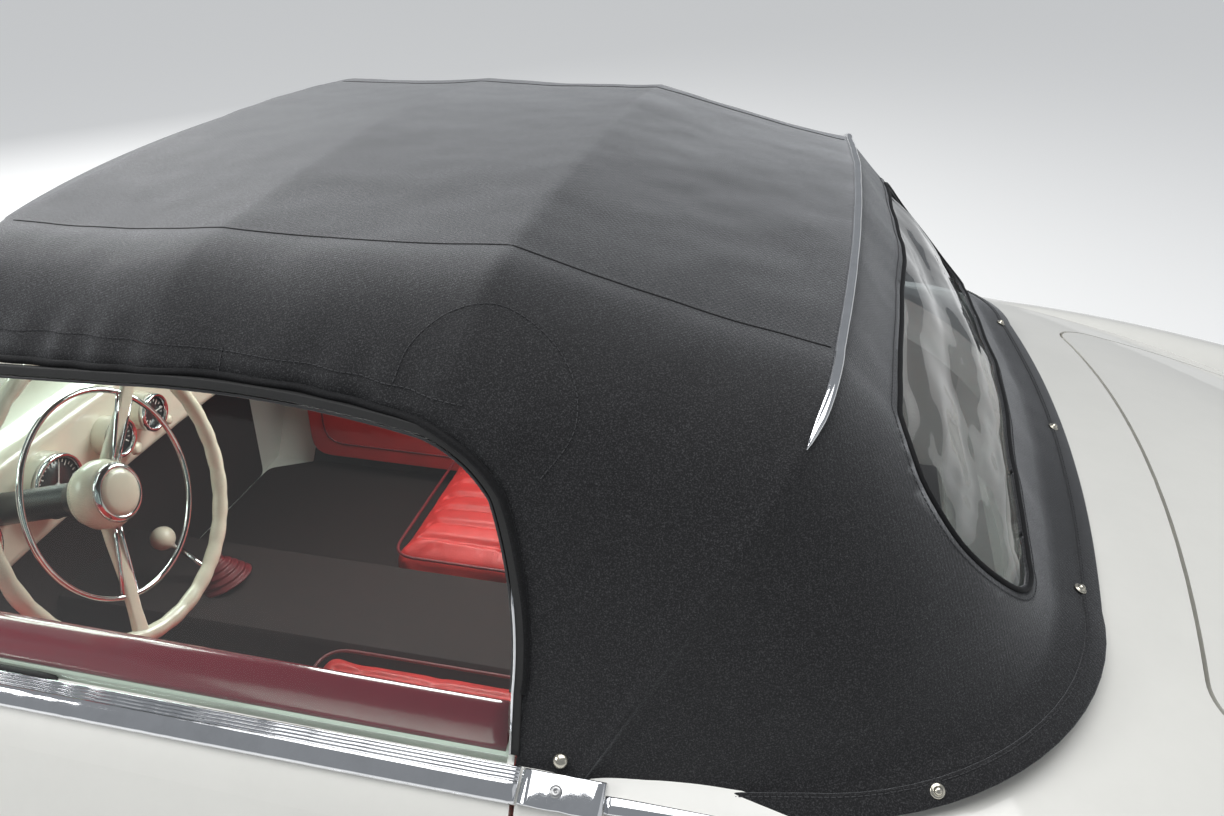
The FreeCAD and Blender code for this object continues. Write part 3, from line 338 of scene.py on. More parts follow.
class Nodes:
    """Small helper that adds and links nodes of one tree."""

    def __init__(self, tree):
        self.tree = tree

    def add(self, kind, values=None, **settings):
        node = self.tree.nodes.new(kind)
        for key, value in settings.items():
            setattr(node, key, value)
        for key, value in (values or {}).items():
            self.put(node, key, value)
        return node

    def put(self, node, key, value):
        socket = node.inputs[key]
        if isinstance(value, bpy.types.NodeSocket):
            self.tree.links.new(value, socket)
        elif socket.type == "RGBA":
            socket.default_value = (*value, 1.0)[:4]
        else:
            socket.default_value = value

    def math(self, operation, a, b=0.0, c=0.0, clamp=False):
        return self.add("ShaderNodeMath", {0: a, 1: b, 2: c}, operation=operation, use_clamp=clamp).outputs[0]

    def times(self, a, b):
        return self.math("MULTIPLY", a, b)

    def vector(self, operation, a, values):
        return self.add("ShaderNodeVectorMath", {0: a, **values}, operation=operation).outputs[0]

    def ramp(self, factor, low, high, out_low=0.0, out_high=1.0):
        values = {"Value": factor, "From Min": low, "From Max": high, "To Min": out_low, "To Max": out_high}
        return self.add("ShaderNodeMapRange", values).outputs[0]

    def mix(self, factor, a, b):
        return self.add("ShaderNodeMix", {"Factor": factor, 6: a, 7: b}, data_type="RGBA").outputs[2]

    def noise(self, vector, scale, detail=2.0, rough=0.5, output="Fac"):
        values = {"Vector": vector, "Scale": scale, "Detail": detail, "Roughness": rough}
        return self.add("ShaderNodeTexNoise", values).outputs[output]

    def bump(self, height, strength, distance, normal=None):
        values = {"Height": height, "Strength": strength, "Distance": distance}
        if normal is not None:
            values["Normal"] = normal
        return self.add("ShaderNodeBump", values).outputs[0]

    def effect(self, group, **values):
        """The outputs of a shared shader group."""
        return self.add("ShaderNodeGroup", values, node_tree=group).outputs


def effect_group(name, inputs, outputs):
    """An empty shader group with a vector, float inputs and outputs, its helper, its inputs and its end."""
    tree = bpy.data.node_groups.new(name, "ShaderNodeTree")
    tree.interface.new_socket("Vector", in_out="INPUT", socket_type="NodeSocketVector")
    for label, value in inputs.items():
        tree.interface.new_socket(label, in_out="INPUT", socket_type="NodeSocketFloat").default_value = value
    for label in outputs:
        tree.interface.new_socket(label, in_out="OUTPUT", socket_type="NodeSocketFloat")
    n = Nodes(tree)
    return n, n.add("NodeGroupInput").outputs, n.add("NodeGroupOutput")


def weave_effect():
    """Plain woven canvas: thread height, and a mask of lighter fibres."""
    inputs, outputs = {"Threads": 900.0, "Fibre": 700.0}, ("Height", "Fibres", "Patches")
    n, start, end = effect_group("canvas weave", inputs, outputs)
    where = start["Vector"]
    parts = n.add("ShaderNodeSeparateXYZ", {0: where}).outputs
    across = n.math("ADD", parts[0], parts[2])
    along = n.math("ADD", parts[1], n.times(parts[2], -0.7))
    warp, weft = (n.math("SINE", n.times(line, start["Threads"])) for line in (across, along))
    threads = n.math("MULTIPLY_ADD", n.times(warp, weft), 0.5, 0.5)
    fine = n.noise(where, start["Fibre"], 3.0, 0.7)
    n.put(end, "Height", n.math("MULTIPLY_ADD", threads, 0.22, n.times(fine, 0.78)))
    n.put(end, "Fibres", n.ramp(fine, 0.50, 0.72))
    n.put(end, "Patches", n.ramp(n.noise(where, 5.0, 4.0, 0.6), 0.35, 0.68))
    return n.tree


def grain_effect():
    """Leather grain: pebbled height and soft colour drift."""
    n, start, end = effect_group("leather grain", {"Size": 420.0}, ("Height", "Drift"))
    where = start["Vector"]
    moved = n.vector("MULTIPLY", n.noise(where, 60.0, output="Color"), {1: (0.004, 0.004, 0.004)})
    values = {"Vector": n.vector("ADD", where, {1: moved}), "Scale": start["Size"]}
    cells = n.add("ShaderNodeTexVoronoi", values, feature="DISTANCE_TO_EDGE").outputs["Distance"]
    n.put(end, "Height", n.ramp(cells, 0.0, 0.25))
    n.put(end, "Drift", n.ramp(n.noise(where, 9.0, 4.0, 0.6), 0.3, 0.7))
    return n.tree


def scuff_effect():
    """Fine rubs, dust and waviness of hard surfaces."""
    n, start, end = effect_group("surface wear", {"Scale": 1.0}, ("Rub", "Dust", "Ripple"))
    place = n.vector("SCALE", start["Vector"], {"Scale": start["Scale"]})
    long = n.add("ShaderNodeMapping", {"Vector": place, "Scale": (9.0, 120.0, 120.0)}).outputs[0]
    n.put(end, "Rub", n.ramp(n.noise(long, 4.0, 6.0, 0.7), 0.45, 0.8))
    n.put(end, "Dust", n.ramp(n.noise(place, 14.0, 8.0, 0.7), 0.4, 0.75))
    n.put(end, "Ripple", n.noise(place, 90.0, 2.0, 0.5))
    return n.tree


class Look:
    """A material with a Principled shader, object coordinates and the helper for its nodes."""

    def __init__(self, name, **sockets):
        self.material = bpy.data.materials.new(name)
        self.material.use_nodes = True
        tree = self.material.node_tree
        tree.nodes.clear()
        self.n = Nodes(tree)
        self.output = self.n.add("ShaderNodeOutputMaterial")
        self.shader = self.n.add("ShaderNodeBsdfPrincipled")
        self.surface(self.shader.outputs[0])
        self.where = self.n.add("ShaderNodeTexCoord").outputs["Object"]
        self.set(**sockets)

    def set(self, **sockets):
        for key, value in sockets.items():
            self.n.put(self.shader, key.replace("_", " "), value)

    def surface(self, shader):
        self.n.tree.links.new(shader, self.output.inputs["Surface"])


# Cloth top: the same hoops as in the solids, in metres, as (y, height) pairs
# For each: x, foot, end of the straight side, middle of the shoulder, start of the crown, height of the crown
HOOPS = (
    (0.345, (0.690, 0.830), (0.585, 1.110), (0.520, 1.195), (0.380, 1.232), 1.250),
    (0.200, (0.705, 0.830), (0.612, 1.172), (0.545, 1.250), (0.420, 1.285), 1.303),
    (-0.087, (0.712, 0.830), (0.622, 1.178), (0.552, 1.262), (0.425, 1.298), 1.320),
    (-0.411, (0.712, 0.830), (0.628, 1.150), (0.556, 1.258), (0.420, 1.304), 1.322),
)
BOW_HALF = ((0.712, 0.012), (0.634, 0.285), (0.560, 0.410), (0.430, 0.454), 0.481)
DECK_HALF = ((0.712, 0.012), (0.698, 0.243), (0.600, 0.464), (0.395, 0.547), 0.573)
BOW_FOOT = (-0.526, 0.830)
BOW_ANGLE, DECK_ANGLE = math.radians(119.3), math.radians(170.1)
SIDE_STEPS, SHOULDER_STEPS, CROWN_STEPS = 44, 18, 88
ROW_STEPS = (18, 30, 36, 40, 48)
SCREEN_RADIUS, SCREEN_LEAN, SCREEN_FOOT = 1.250, 1.034, (0.671, 0.900)
CLOTH_GAP = 0.013
DECK_REACH, HEM_FLARE = 0.47, 0.020
HEM_COLUMN = 9


def hoop_curve(half):
    """(y, height) pairs across a hoop from the left foot to the right foot."""
    foot, side, shoulder, crown, top = half
    (y0, h0), (y1, h1) = foot, side
    straight = [(y0 + (y1 - y0) * k / SIDE_STEPS, h0 + (h1 - h0) * k / SIDE_STEPS) for k in range(SIDE_STEPS)]
    bend = arc_points(side, shoulder, crown, SHOULDER_STEPS)[:-1]
    roof = arc_points(crown, (0.0, top), (-crown[0], crown[1]), CROWN_STEPS)
    right = [(-y, h) for y, h in reversed(straight + bend)]
    return np.array(straight + bend + roof + right)


def hoop_lines():
    """Every hoop as three-dimensional points: an array of hoop, column, coordinate."""
    lines = []
    for x, *half in HOOPS:
        c = hoop_curve(half)
        lines.append(np.stack([np.full(len(c), x), c[:, 0], c[:, 1]], axis=1))
    for half, angle in ((BOW_HALF, BOW_ANGLE), (DECK_HALF, DECK_ANGLE)):
        c = hoop_curve(half)
        x, z = BOW_FOOT[0] + c[:, 1] * math.cos(angle), BOW_FOOT[1] + c[:, 1] * math.sin(angle)
        lines.append(np.stack([x, c[:, 0], z], axis=1))
    return np.array(lines)


LINES = hoop_lines()
COLUMNS = LINES.shape[1]
SEAM_COLUMN = SIDE_STEPS + SHOULDER_STEPS


def cloth_at(u, v):
    """The ruled surface through the hoops at hoop number u (0 to 5) and column v."""
    u = np.clip(u, 0, 5)
    i = np.minimum(u.astype(int), 4)
    t = (u - i)[..., None]
    return LINES[i, v] * (1 - t) + LINES[i + 1, v] * t


def ahead_of_screen(p):
    """Positive where a point is ahead of the windscreen frame's rear face."""
    middle = SCREEN_FOOT[0] + (SCREEN_FOOT[1] - p[..., 2]) * SCREEN_LEAN
    sag = SCREEN_RADIUS - np.sqrt(SCREEN_RADIUS ** 2 - p[..., 1] ** 2)
    return p[..., 0] - (middle - sag)


def front_edge():
    """For every column, the hoop number where the cloth meets the windscreen frame."""
    starts = np.zeros(COLUMNS)
    fine = np.linspace(0, 2, 401)
    for v in range(COLUMNS):
        side = ahead_of_screen(cloth_at(fine, np.full(len(fine), v)))
        inside = np.nonzero(side < -0.001)[0]
        starts[v] = fine[inside[0]] if len(inside) else 0.0
    return starts


def outward(points, grow):
    """A closed outline moved outwards by grow."""
    along = np.roll(points, -1, axis=0) - np.roll(points, 1, axis=0)
    out = np.stack([along[:, 1], -along[:, 0]], axis=1)
    out /= np.linalg.norm(out, axis=1)[:, None]
    if ((points - points.mean(axis=0)) * out).sum() < 0:
        out = -out
    return points + out * grow


def door_window(grow=0.0):
    """The door glass's outline in (x, z), clockwise from the front bottom, moved outwards by grow."""
    rear, belt, top = -0.474, 0.885, 1.197
    start = (rear, belt + 0.064)
    points = [(0.70, 0.840), (0.70, 0.76), (rear, 0.76), start]
    bends = (
        ((rear + 0.008, belt + 0.180), (rear + 0.027, belt + 0.247), 14),
        ((rear + 0.057, belt + 0.278), (rear + 0.096, top - 0.015), 12),
        ((rear + 0.268, top + 0.003), (rear + 0.407, top + 0.001), 22),
    )
    for over, end, count in bends:
        points += arc_points(start, over, end, count)[1:]
        start = end
    points += [(0.140, top - 0.008), (0.240, top - 0.020), (0.70, top - 0.060)]
    return outward(np.array(points), grow)


def rear_window(grow=0.0):
    """The clear rear window's outline in (y, z), moved outwards by grow."""
    top = arc_points((-0.400, 1.156), (0, 1.176), (0.400, 1.156), 40)
    right = arc_points((0.400, 1.156), (0.500, 1.070), (0.450, 0.982), 30)[1:]
    low = arc_points((0.450, 0.982), (0, 1.010), (-0.450, 0.982), 40)[1:]
    left = arc_points((-0.450, 0.982), (-0.500, 1.070), (-0.400, 1.156), 30)[1:-1]
    pts = np.array(top + right + low + left)
    for _ in range(6):
        pts = (np.roll(pts, 1, axis=0) + pts * 2 + np.roll(pts, -1, axis=0)) / 4
    return outward(pts, grow)


def within(points, polygon):
    """Which (a, b) points lie inside a closed polygon."""
    x, y = points[:, 0], points[:, 1]
    inside = np.zeros(len(points), bool)
    for (x0, y0), (x1, y1) in zip(polygon, np.roll(polygon, -1, axis=0)):
        if y0 == y1:
            continue
        crosses = (y0 > y) != (y1 > y)
        inside ^= crosses & (x < (x1 - x0) * (y - y0) / (y1 - y0) + x0)
    return inside


def nearest_on(polygon, point):
    """The closest point of a closed polygon's outline."""
    a, b = polygon, np.roll(polygon, -1, axis=0)
    d = b - a
    t = np.clip(((point - a) * d).sum(1) / np.maximum((d * d).sum(1), 1e-12), 0, 1)
    q = a + d * t[:, None]
    return q[np.argmin(((q - point) ** 2).sum(1))]


def bump_at(p, centre, radius):
    """A soft round swelling with its top at centre."""
    return np.exp(-((p - np.array(centre)) ** 2).sum(-1) / (2 * radius ** 2))


def cloth_relief(p, u, v):
    """How far the cloth stands out of its ruled surface, in metres."""
    t = u - np.floor(u)
    half = np.minimum(v, COLUMNS - 1 - v)
    roof = np.clip((half - SIDE_STEPS) / SHOULDER_STEPS, 0, 1)
    rear = np.clip((u - 4.0) * 8, 0, 1)
    hang = -4 * t * (1 - t) * (0.0045 * roof + 0.0025 * (1 - roof))
    billow = -4 * t * (1 - t) * 0.007 * (0.4 + 0.6 * np.clip(half / SIDE_STEPS, 0, 1))
    out = hang * (1 - rear) + billow * rear
    reach = np.linalg.norm(LINES[5, v] - LINES[4, v], axis=-1) / DECK_REACH
    out -= HEM_FLARE * reach * rear * np.exp(-np.clip((0.88 - t) / 0.24, 0, 9) ** 2)
    for sign in (1, -1):
        out += 0.0058 * bump_at(p, (-0.462, sign * 0.604, 1.193), 0.014)
        out += 0.0035 * bump_at(p, (-0.435, sign * 0.600, 1.222), 0.026)
        out += 0.0025 * bump_at(p, (-0.40, sign * 0.640, 1.09), 0.05)
    above = np.exp(-((p[..., 2] - 1.225) / 0.018) ** 2) * (1 - roof) * (p[..., 0] > -0.43)
    out += above * 0.0024 * np.sin(p[..., 0] * 88 + 2.2 * np.sin(p[..., 0] * 19))
    skirt = np.clip((half - 4) / 10, 0, 1) * rear
    out += skirt * 0.0022 * np.sin(p[..., 1] * 15 + 1.3) * np.sin(t * math.pi)
    out += 0.0030 * np.exp(-((u - 4) / 0.035) ** 2) * (1 - roof)
    behind_ridge = np.clip((u - 3) / 0.5, 0, 1) * np.clip((4 - u) / 0.35, 0, 1)
    out -= 0.007 * behind_ridge * (1 - roof) * np.clip(half / SIDE_STEPS, 0, 1)
    return out


def cloth_noise(points):
    """Slow irregular waves of the stretched cloth."""
    out = np.empty(len(points))
    for k, p in enumerate(points):
        q = Vector(p)
        out[k] = 0.0022 * noise.noise(q * 8.0) + 0.0008 * noise.noise(q * 21.0 + Vector((3, 1, 7)))
    return out


def grid_normals(p):
    """Outward normals of a grid of points."""
    du = np.gradient(p, axis=0)
    dv = np.gradient(p, axis=1)
    n = np.cross(dv, du)
    n /= np.maximum(np.linalg.norm(n, axis=2), 1e-9)[..., None]
    middle = np.array([-0.45, 0.0, 0.95])
    flip = np.where(((p - middle) * n).sum(2).mean() < 0, -1.0, 1.0)
    return n * flip


def cloth_grid():
    """Points of the whole cloth before its windows are cut: an array of row, column, coordinate."""
    rows = [np.linspace(i, i + 1, steps, endpoint=False) for i, steps in enumerate(ROW_STEPS)]
    rows = np.concatenate(rows + [[5.0]])
    starts = front_edge()
    v = np.tile(np.arange(COLUMNS), (len(rows), 1))
    u = np.tile(rows[:, None], (1, COLUMNS))
    u = np.where(u < 2, starts[v] + (2 - starts[v]) * u / 2, u)
    softness = (0.02, 0.05, 0.03, 0.05, 0.02, 0.009, 0.012, 0.004, 0.0)
    soft = np.interp(rows, (0, 1, 1.4, 2, 2.6, 3, 3.6, 4, 5), softness)[:, None]
    shifts = (-1, -0.6, -0.2, 0.2, 0.6, 1)
    p = np.mean([cloth_at(np.clip(u + soft * k, starts[v], 5), v) for k in shifts], axis=0)
    n = grid_normals(p)
    relief = cloth_relief(p, u, v) + cloth_noise(p.reshape(-1, 3)).reshape(p.shape[:2])
    edge = np.clip((u - starts[v]) / 0.25, 0, 1) * np.clip((5 - u) / 0.12, 0, 1)
    return p + n * (relief * edge)[..., None]


def cut_window(p, faces, polygon, axes, depth_axis, side):
    """Drops the faces inside a window and pulls the edge left behind onto its outline."""
    a, b = axes
    flat = p.reshape(-1, 3)
    centres = flat[faces].mean(axis=1)
    doomed = within(centres[:, [a, b]], polygon) & side(centres)
    kept, gone = faces[~doomed], faces[doomed]
    rim = np.intersect1d(np.unique(kept), np.unique(gone))
    normals = grid_normals(p).reshape(-1, 3)
    for i in rim:
        target = nearest_on(polygon, flat[i, [a, b]])
        shift = target - flat[i, [a, b]]
        n = normals[i]
        flat[i, depth_axis] -= (n[a] * shift[0] + n[b] * shift[1]) / n[depth_axis]
        flat[i, a], flat[i, b] = target
    return flat.reshape(p.shape), kept


def cloth_mesh():
    """The cloth with its windows cut out, a search tree of the whole cloth, and its grid of points."""
    p = cloth_grid()
    rows, cols = p.shape[:2]
    i, j = np.meshgrid(np.arange(rows - 1), np.arange(cols - 1), indexing="ij")
    a = i * cols + j
    faces = np.stack([a, a + 1, a + cols + 1, a + cols], axis=-1).reshape(-1, 4)
    whole = add_object("cloth_uncut", p.reshape(-1, 3), faces)
    tree = tree_of(whole)
    bpy.data.objects.remove(whole)
    side = door_window(CLOTH_GAP)
    p, faces = cut_window(p, faces, side, (0, 2), 1, lambda c: np.abs(c[:, 1]) > 0.5)
    p, faces = cut_window(p, faces, rear_window(), (1, 2), 0, lambda c: c[:, 0] < -0.7)
    used = np.unique(faces)
    index = -np.ones(rows * cols, int)
    index[used] = np.arange(len(used))
    return mended(add_object("soft_top_cloth", p.reshape(-1, 3)[used], index[faces])), tree, p


def shaded(colour, share):
    """A lighter or darker tone of a colour."""
    return [min(1, c * share) for c in colour]


def make_looks(settings):
    """Every material of the car, by name."""
    weave, grain, scuff = weave_effect(), grain_effect(), scuff_effect()
    looks = {}

    def start(name, **sockets):
        looks[name] = Look(name, **sockets)
        return looks[name], looks[name].n

    def hard(name, colour, rough, rub, scale, dust, shade, ripple, depth, **sockets):
        """A hard surface with dust, rubs and a faint ripple."""
        look, n = start(name, **sockets)
        wear = n.effect(scuff, Vector=look.where, Scale=scale)
        look.set(Base_Color=n.mix(n.times(wear["Dust"], dust), colour, shaded(colour, shade)))
        look.set(Roughness=n.ramp(wear["Rub"], 0.0, 1.0, rough, rough + rub) if rub else rough)
        look.set(Normal=n.bump(wear["Ripple"], ripple, depth))

    def painted(name, colour, coat=1.0, rough=0.32):
        hard(name, colour, rough, 0.0, 1.0, 0.35, 0.90, 0.04, 0.002, Coat_Weight=coat, Coat_Roughness=0.04)

    def metal(name, colour, rough, rub=0.10):
        hard(name, colour, rough, rub, 2.0, 0.5, 0.8, 0.03, 0.001, Metallic=1.0)

    def plastic(name, colour, rough=0.25, coat=0.4, ripple=0.05):
        hard(name, colour, rough, 0.15, 1.5, 0.6, 0.82, ripple, 0.001, Coat_Weight=coat, Coat_Roughness=0.1)

    def canvas(name, dark, light, strength, sheen):
        look, n = start(name, Sheen_Roughness=0.42, Sheen_Tint=(0.90, 0.92, 0.95), Specular_IOR_Level=0.2)
        cloth = n.effect(weave, Vector=look.where)
        ground = n.mix(cloth["Patches"], dark, shaded(dark, 1.12))
        look.set(Base_Color=n.mix(n.times(cloth["Fibres"], 0.6), ground, light))
        look.set(Sheen_Weight=n.ramp(cloth["Fibres"], 0.0, 1.0, sheen * 0.6, min(1.0, sheen * 1.6)))
        look.set(Roughness=n.ramp(cloth["Patches"], 0.0, 1.0, 0.66, 0.72))
        look.set(Normal=n.bump(cloth["Height"], strength, 0.0012))

    def hide(name, colour):
        look, n = start(name, Roughness=0.42, Coat_Weight=0.12, Coat_Roughness=0.3)
        skin = n.effect(grain, Vector=look.where)
        look.set(Base_Color=n.mix(skin["Drift"], colour, shaded(colour, 0.72)))
        look.set(Normal=n.bump(skin["Height"], 0.35, 0.0008))

    def rough_stuff(name, colour, scale, strength, roughness):
        look, n = start(name, Roughness=roughness)
        fine = n.noise(look.where, scale, 6.0, 0.7)
        broad = n.noise(look.where, scale * 0.05, 3.0, 0.6)
        tone = n.math("MULTIPLY_ADD", fine, 0.5, n.times(broad, 0.5))
        look.set(Base_Color=n.mix(n.ramp(tone, 0.3, 0.7), shaded(colour, 0.6), shaded(colour, 1.35)))
        look.set(Normal=n.bump(fine, strength, 0.002))

    def clear(name, tint, gloss=0.04, ripple=0.0, haze=0.0, reflect=1.0):
        """Thin glass or clear sheet: see-through with a mirror layer that grows towards grazing angles."""
        look, n = start(name, Base_Color=tint, Roughness=gloss, Alpha=0.35)
        wear = n.effect(scuff, Vector=look.where, Scale=1.0)
        normal = n.bump(wear["Ripple"], 0.02, 0.001)
        if ripple:
            waves = n.add("ShaderNodeMapping", {"Vector": look.where, "Scale": (2.0, 0.45, 2.0)}).outputs[0]
            normal = n.bump(n.noise(waves, 8.0, 1.0, 0.4), ripple, 0.02, normal)
        film = n.add("ShaderNodeBsdfTransparent", {"Color": tint}).outputs[0]
        gloss_values = {"Color": (1, 1, 1), "Roughness": gloss, "Normal": normal}
        mirror = n.add("ShaderNodeBsdfGlossy", gloss_values).outputs[0]
        edge = n.add("ShaderNodeFresnel", {"IOR": 1.5, "Normal": normal}).outputs[0]
        outside = n.math("SUBTRACT", 1.0, n.add("ShaderNodeNewGeometry").outputs["Backfacing"])
        amount = n.math("MULTIPLY", n.times(edge, outside), reflect, clamp=True)
        body = n.add("ShaderNodeMixShader", {0: amount, 1: film, 2: mirror}).outputs[0]
        if haze:
            dust = n.add("ShaderNodeBsdfDiffuse", {"Color": (0.55, 0.55, 0.53)}).outputs[0]
            amount = n.times(n.ramp(wear["Dust"], 0.0, 1.0, 0.4, 1.0), haze)
            body = n.add("ShaderNodeMixShader", {0: amount, 1: body, 2: dust}).outputs[0]
        look.surface(body)

    cloth_colour = tuple(settings.cloth_colour)
    painted("cream_paint", tuple(settings.paint_colour))
    painted("dash_paint", (0.80, 0.74, 0.62), coat=0.8)
    painted("black_paint", (0.012, 0.012, 0.013), coat=0.3, rough=0.4)
    metal("chrome", (0.80, 0.81, 0.83), 0.045)
    metal("dull_metal", (0.50, 0.50, 0.50), 0.35, 0.2)
    metal("cast_alloy", (0.38, 0.38, 0.37), 0.5, 0.2)
    metal("brass_stud", (0.72, 0.68, 0.58), 0.18)
    canvas("canvas", cloth_colour, (0.11, 0.11, 0.115), 0.5, 0.95)
    canvas("canvas_edge", shaded(cloth_colour, 0.6), (0.030, 0.030, 0.033), 0.35, 0.1)
    canvas("thread", (0.045, 0.045, 0.048), (0.10, 0.10, 0.10), 0.2, 0.3)
    hide("red_leather", tuple(settings.leather_colour))
    hide("dark_leather", (0.16, 0.008, 0.014))
    plastic("ivory", (0.82, 0.76, 0.62))
    plastic("burgundy", (0.22, 0.008, 0.028), 0.15, 1.0, 0.004)
    plastic("black_plastic", (0.015, 0.015, 0.016), 0.3)
    plastic("dial_white", (0.75, 0.75, 0.72), 0.4, 0.0)
    rough_stuff("rubber", (0.018, 0.018, 0.018), 400.0, 0.2, 0.7)
    rough_stuff("tyre_rubber", (0.022, 0.022, 0.022), 300.0, 0.3, 0.8)
    rough_stuff("carpet", (0.020, 0.010, 0.010), 900.0, 0.4, 0.95)
    rough_stuff("underside", (0.03, 0.03, 0.03), 120.0, 0.5, 0.8)
    clear("glass", (0.90, 0.95, 0.92))
    clear("vinyl", (0.55, 0.58, 0.58), 0.05, 0.5, 0.03, 1.1)
    clear("lamp_glass", (0.95, 0.97, 0.98), 0.03, 0.15, 0.0, 1.3)
    lens, n = start("red_lens", Roughness=0.12, Coat_Weight=1.0, Base_Color=(0.42, 0.012, 0.01))
    height = n.add("ShaderNodeSeparateXYZ", {0: lens.where}).outputs[2]
    lens.set(Normal=n.bump(n.math("SINE", n.times(height, 1400.0)), 0.25, 0.001))
    return {name: look.material for name, look in looks.items()}


LOOKS = {}


def colour_property(label, about, value):
    settings = {"name": label, "description": about, "default": value}
    return bpy.props.FloatVectorProperty(subtype="COLOR", size=3, **settings)


def number_property(label, about, value, unit, least=0.0):
    return bpy.props.FloatProperty(name=label, description=about, default=value, min=least, unit=unit)


class CarSettings(bpy.types.PropertyGroup):
    paint_colour: colour_property("Paint", "Paint of body, doors and wheels", (0.83, 0.82, 0.77))
    cloth_colour: colour_property("Cloth", "Canvas of the top", (0.010, 0.010, 0.011))
    leather_colour: colour_property("Leather", "Leather of seats and door cards", (0.62, 0.03, 0.028))
    stitch_length: number_property("Stitch length", "Length of one stitch", 0.0042, "LENGTH", 0.001)
    cloth_thickness: number_property("Cloth thickness", "Thickness of the cloth", 0.004, "LENGTH", 0.001)


class StageSettings(bpy.types.PropertyGroup):
    floor_colour: colour_property("Floor", "Colour of the floor", (0.66, 0.66, 0.65))
    backdrop: colour_property("Backdrop", "Colour seen behind the car", (0.86, 0.87, 0.88))
    key_power: number_property("Key light", "Power of the main light", 250.0, "POWER")
    sky_power: number_property("Overhead light", "Power of the light above the car", 120.0, "POWER")
    cabin_power: number_property("Light in the cabin", "Power of the light inside", 11.0, "POWER")
    fill: number_property("Room light", "Strength of the light from all sides", 0.32, "NONE")


def area_light(name, at, aim, size, power):
    data = bpy.data.lights.new(name, "AREA")
    data.shape = "RECTANGLE"
    data.size, data.size_y = size
    data.energy = power
    light = placed(name, data)
    light.location = at
    light.rotation_euler = (Vector(aim) - Vector(at)).to_track_quat("-Z", "Y").to_euler()
    return light


class CONVERTIBLE_OT_stage(bpy.types.Operator):
    """Camera of the photograph, pale floor and soft studio light"""

    bl_idname = "convertible.stage"
    bl_label = "Stage"

    def execute(self, context):
        scene, settings = context.scene, context.scene.convertible_stage
        right, up, ahead = camera_axes()
        data = bpy.data.cameras.new("photo_camera")
        data.sensor_width, data.lens, data.clip_start, data.clip_end = 36.0, CAMERA_LENS, 0.05, 100.0
        scene.camera = placed("photo_camera", data)
        turn = Matrix((right, up, -ahead)).transposed().to_4x4()
        scene.camera.matrix_world = Matrix.Translation(CAMERA_AT) @ turn
        self.floor(settings)
        self.room(scene, settings)
        key = settings.key_power
        area_light("key", (3.8, -3.0, 3.4), (-0.3, 0.0, 1.1), (3.0, 2.2), key)
        area_light("overhead", (-0.6, 0.4, 4.6), (-0.4, 0.0, 1.0), (4.5, 3.0), settings.sky_power)
        area_light("rear_fill", (-4.5, 2.0, 2.4), (-0.9, 0.0, 0.9), (2.5, 2.0), key * 0.02)
        area_light("side_light", (3.6, 2.4, 3.4), (0.0, 0.3, 1.0), (2.0, 1.6), key * 0.25)
        at, aim = (-0.10, -0.25, 1.12), (-0.30, 0.20, 0.40)
        area_light("cabin_light", at, aim, (0.5, 0.5), settings.cabin_power).visible_camera = False
        scene.view_settings.view_transform = "Standard"
        return {"FINISHED"}

    def floor(self, settings):
        size = 30
        corners = [(-size, -size, 0), (size, -size, 0), (size, size, 0), (-size, size, 0)]
        floor = add_object("floor", corners, [(0, 1, 2, 3)], smooth=False)
        glow = {"Emission_Color": (0.86, 0.87, 0.88), "Emission_Strength": 0.42}
        ground = Look("floor_surface", Roughness=0.8, **glow)
        speck = ground.n.noise(ground.where, 30.0, 6.0, 0.6)
        base = tuple(settings.floor_colour)
        ground.set(Base_Color=ground.n.mix(speck, shaded(base, 0.97), base))
        floor.data.materials.append(ground.material)

    def room(self, scene, settings):
        world = bpy.data.worlds.new("studio")
        world.use_nodes = True
        scene.world = world
        n = Nodes(world.node_tree)
        world.node_tree.nodes.clear()
        path = n.add("ShaderNodeLightPath").outputs
        seen = n.math("MAXIMUM", path["Is Camera Ray"], path["Is Transmission Ray"])
        room = n.add("ShaderNodeBackground", {"Color": (0.86, 0.90, 0.95), "Strength": settings.fill})
        back = n.add("ShaderNodeBackground", {"Color": settings.backdrop, "Strength": 1.0})
        both = n.add("ShaderNodeMixShader", {0: seen, 1: room.outputs[0], 2: back.outputs[0]})
        out = n.add("ShaderNodeOutputWorld", {"Surface": both.outputs[0]})
        out.is_active_output = True


THREAD_RADIUS, STITCH_PITCH = 0.00055, 1.45


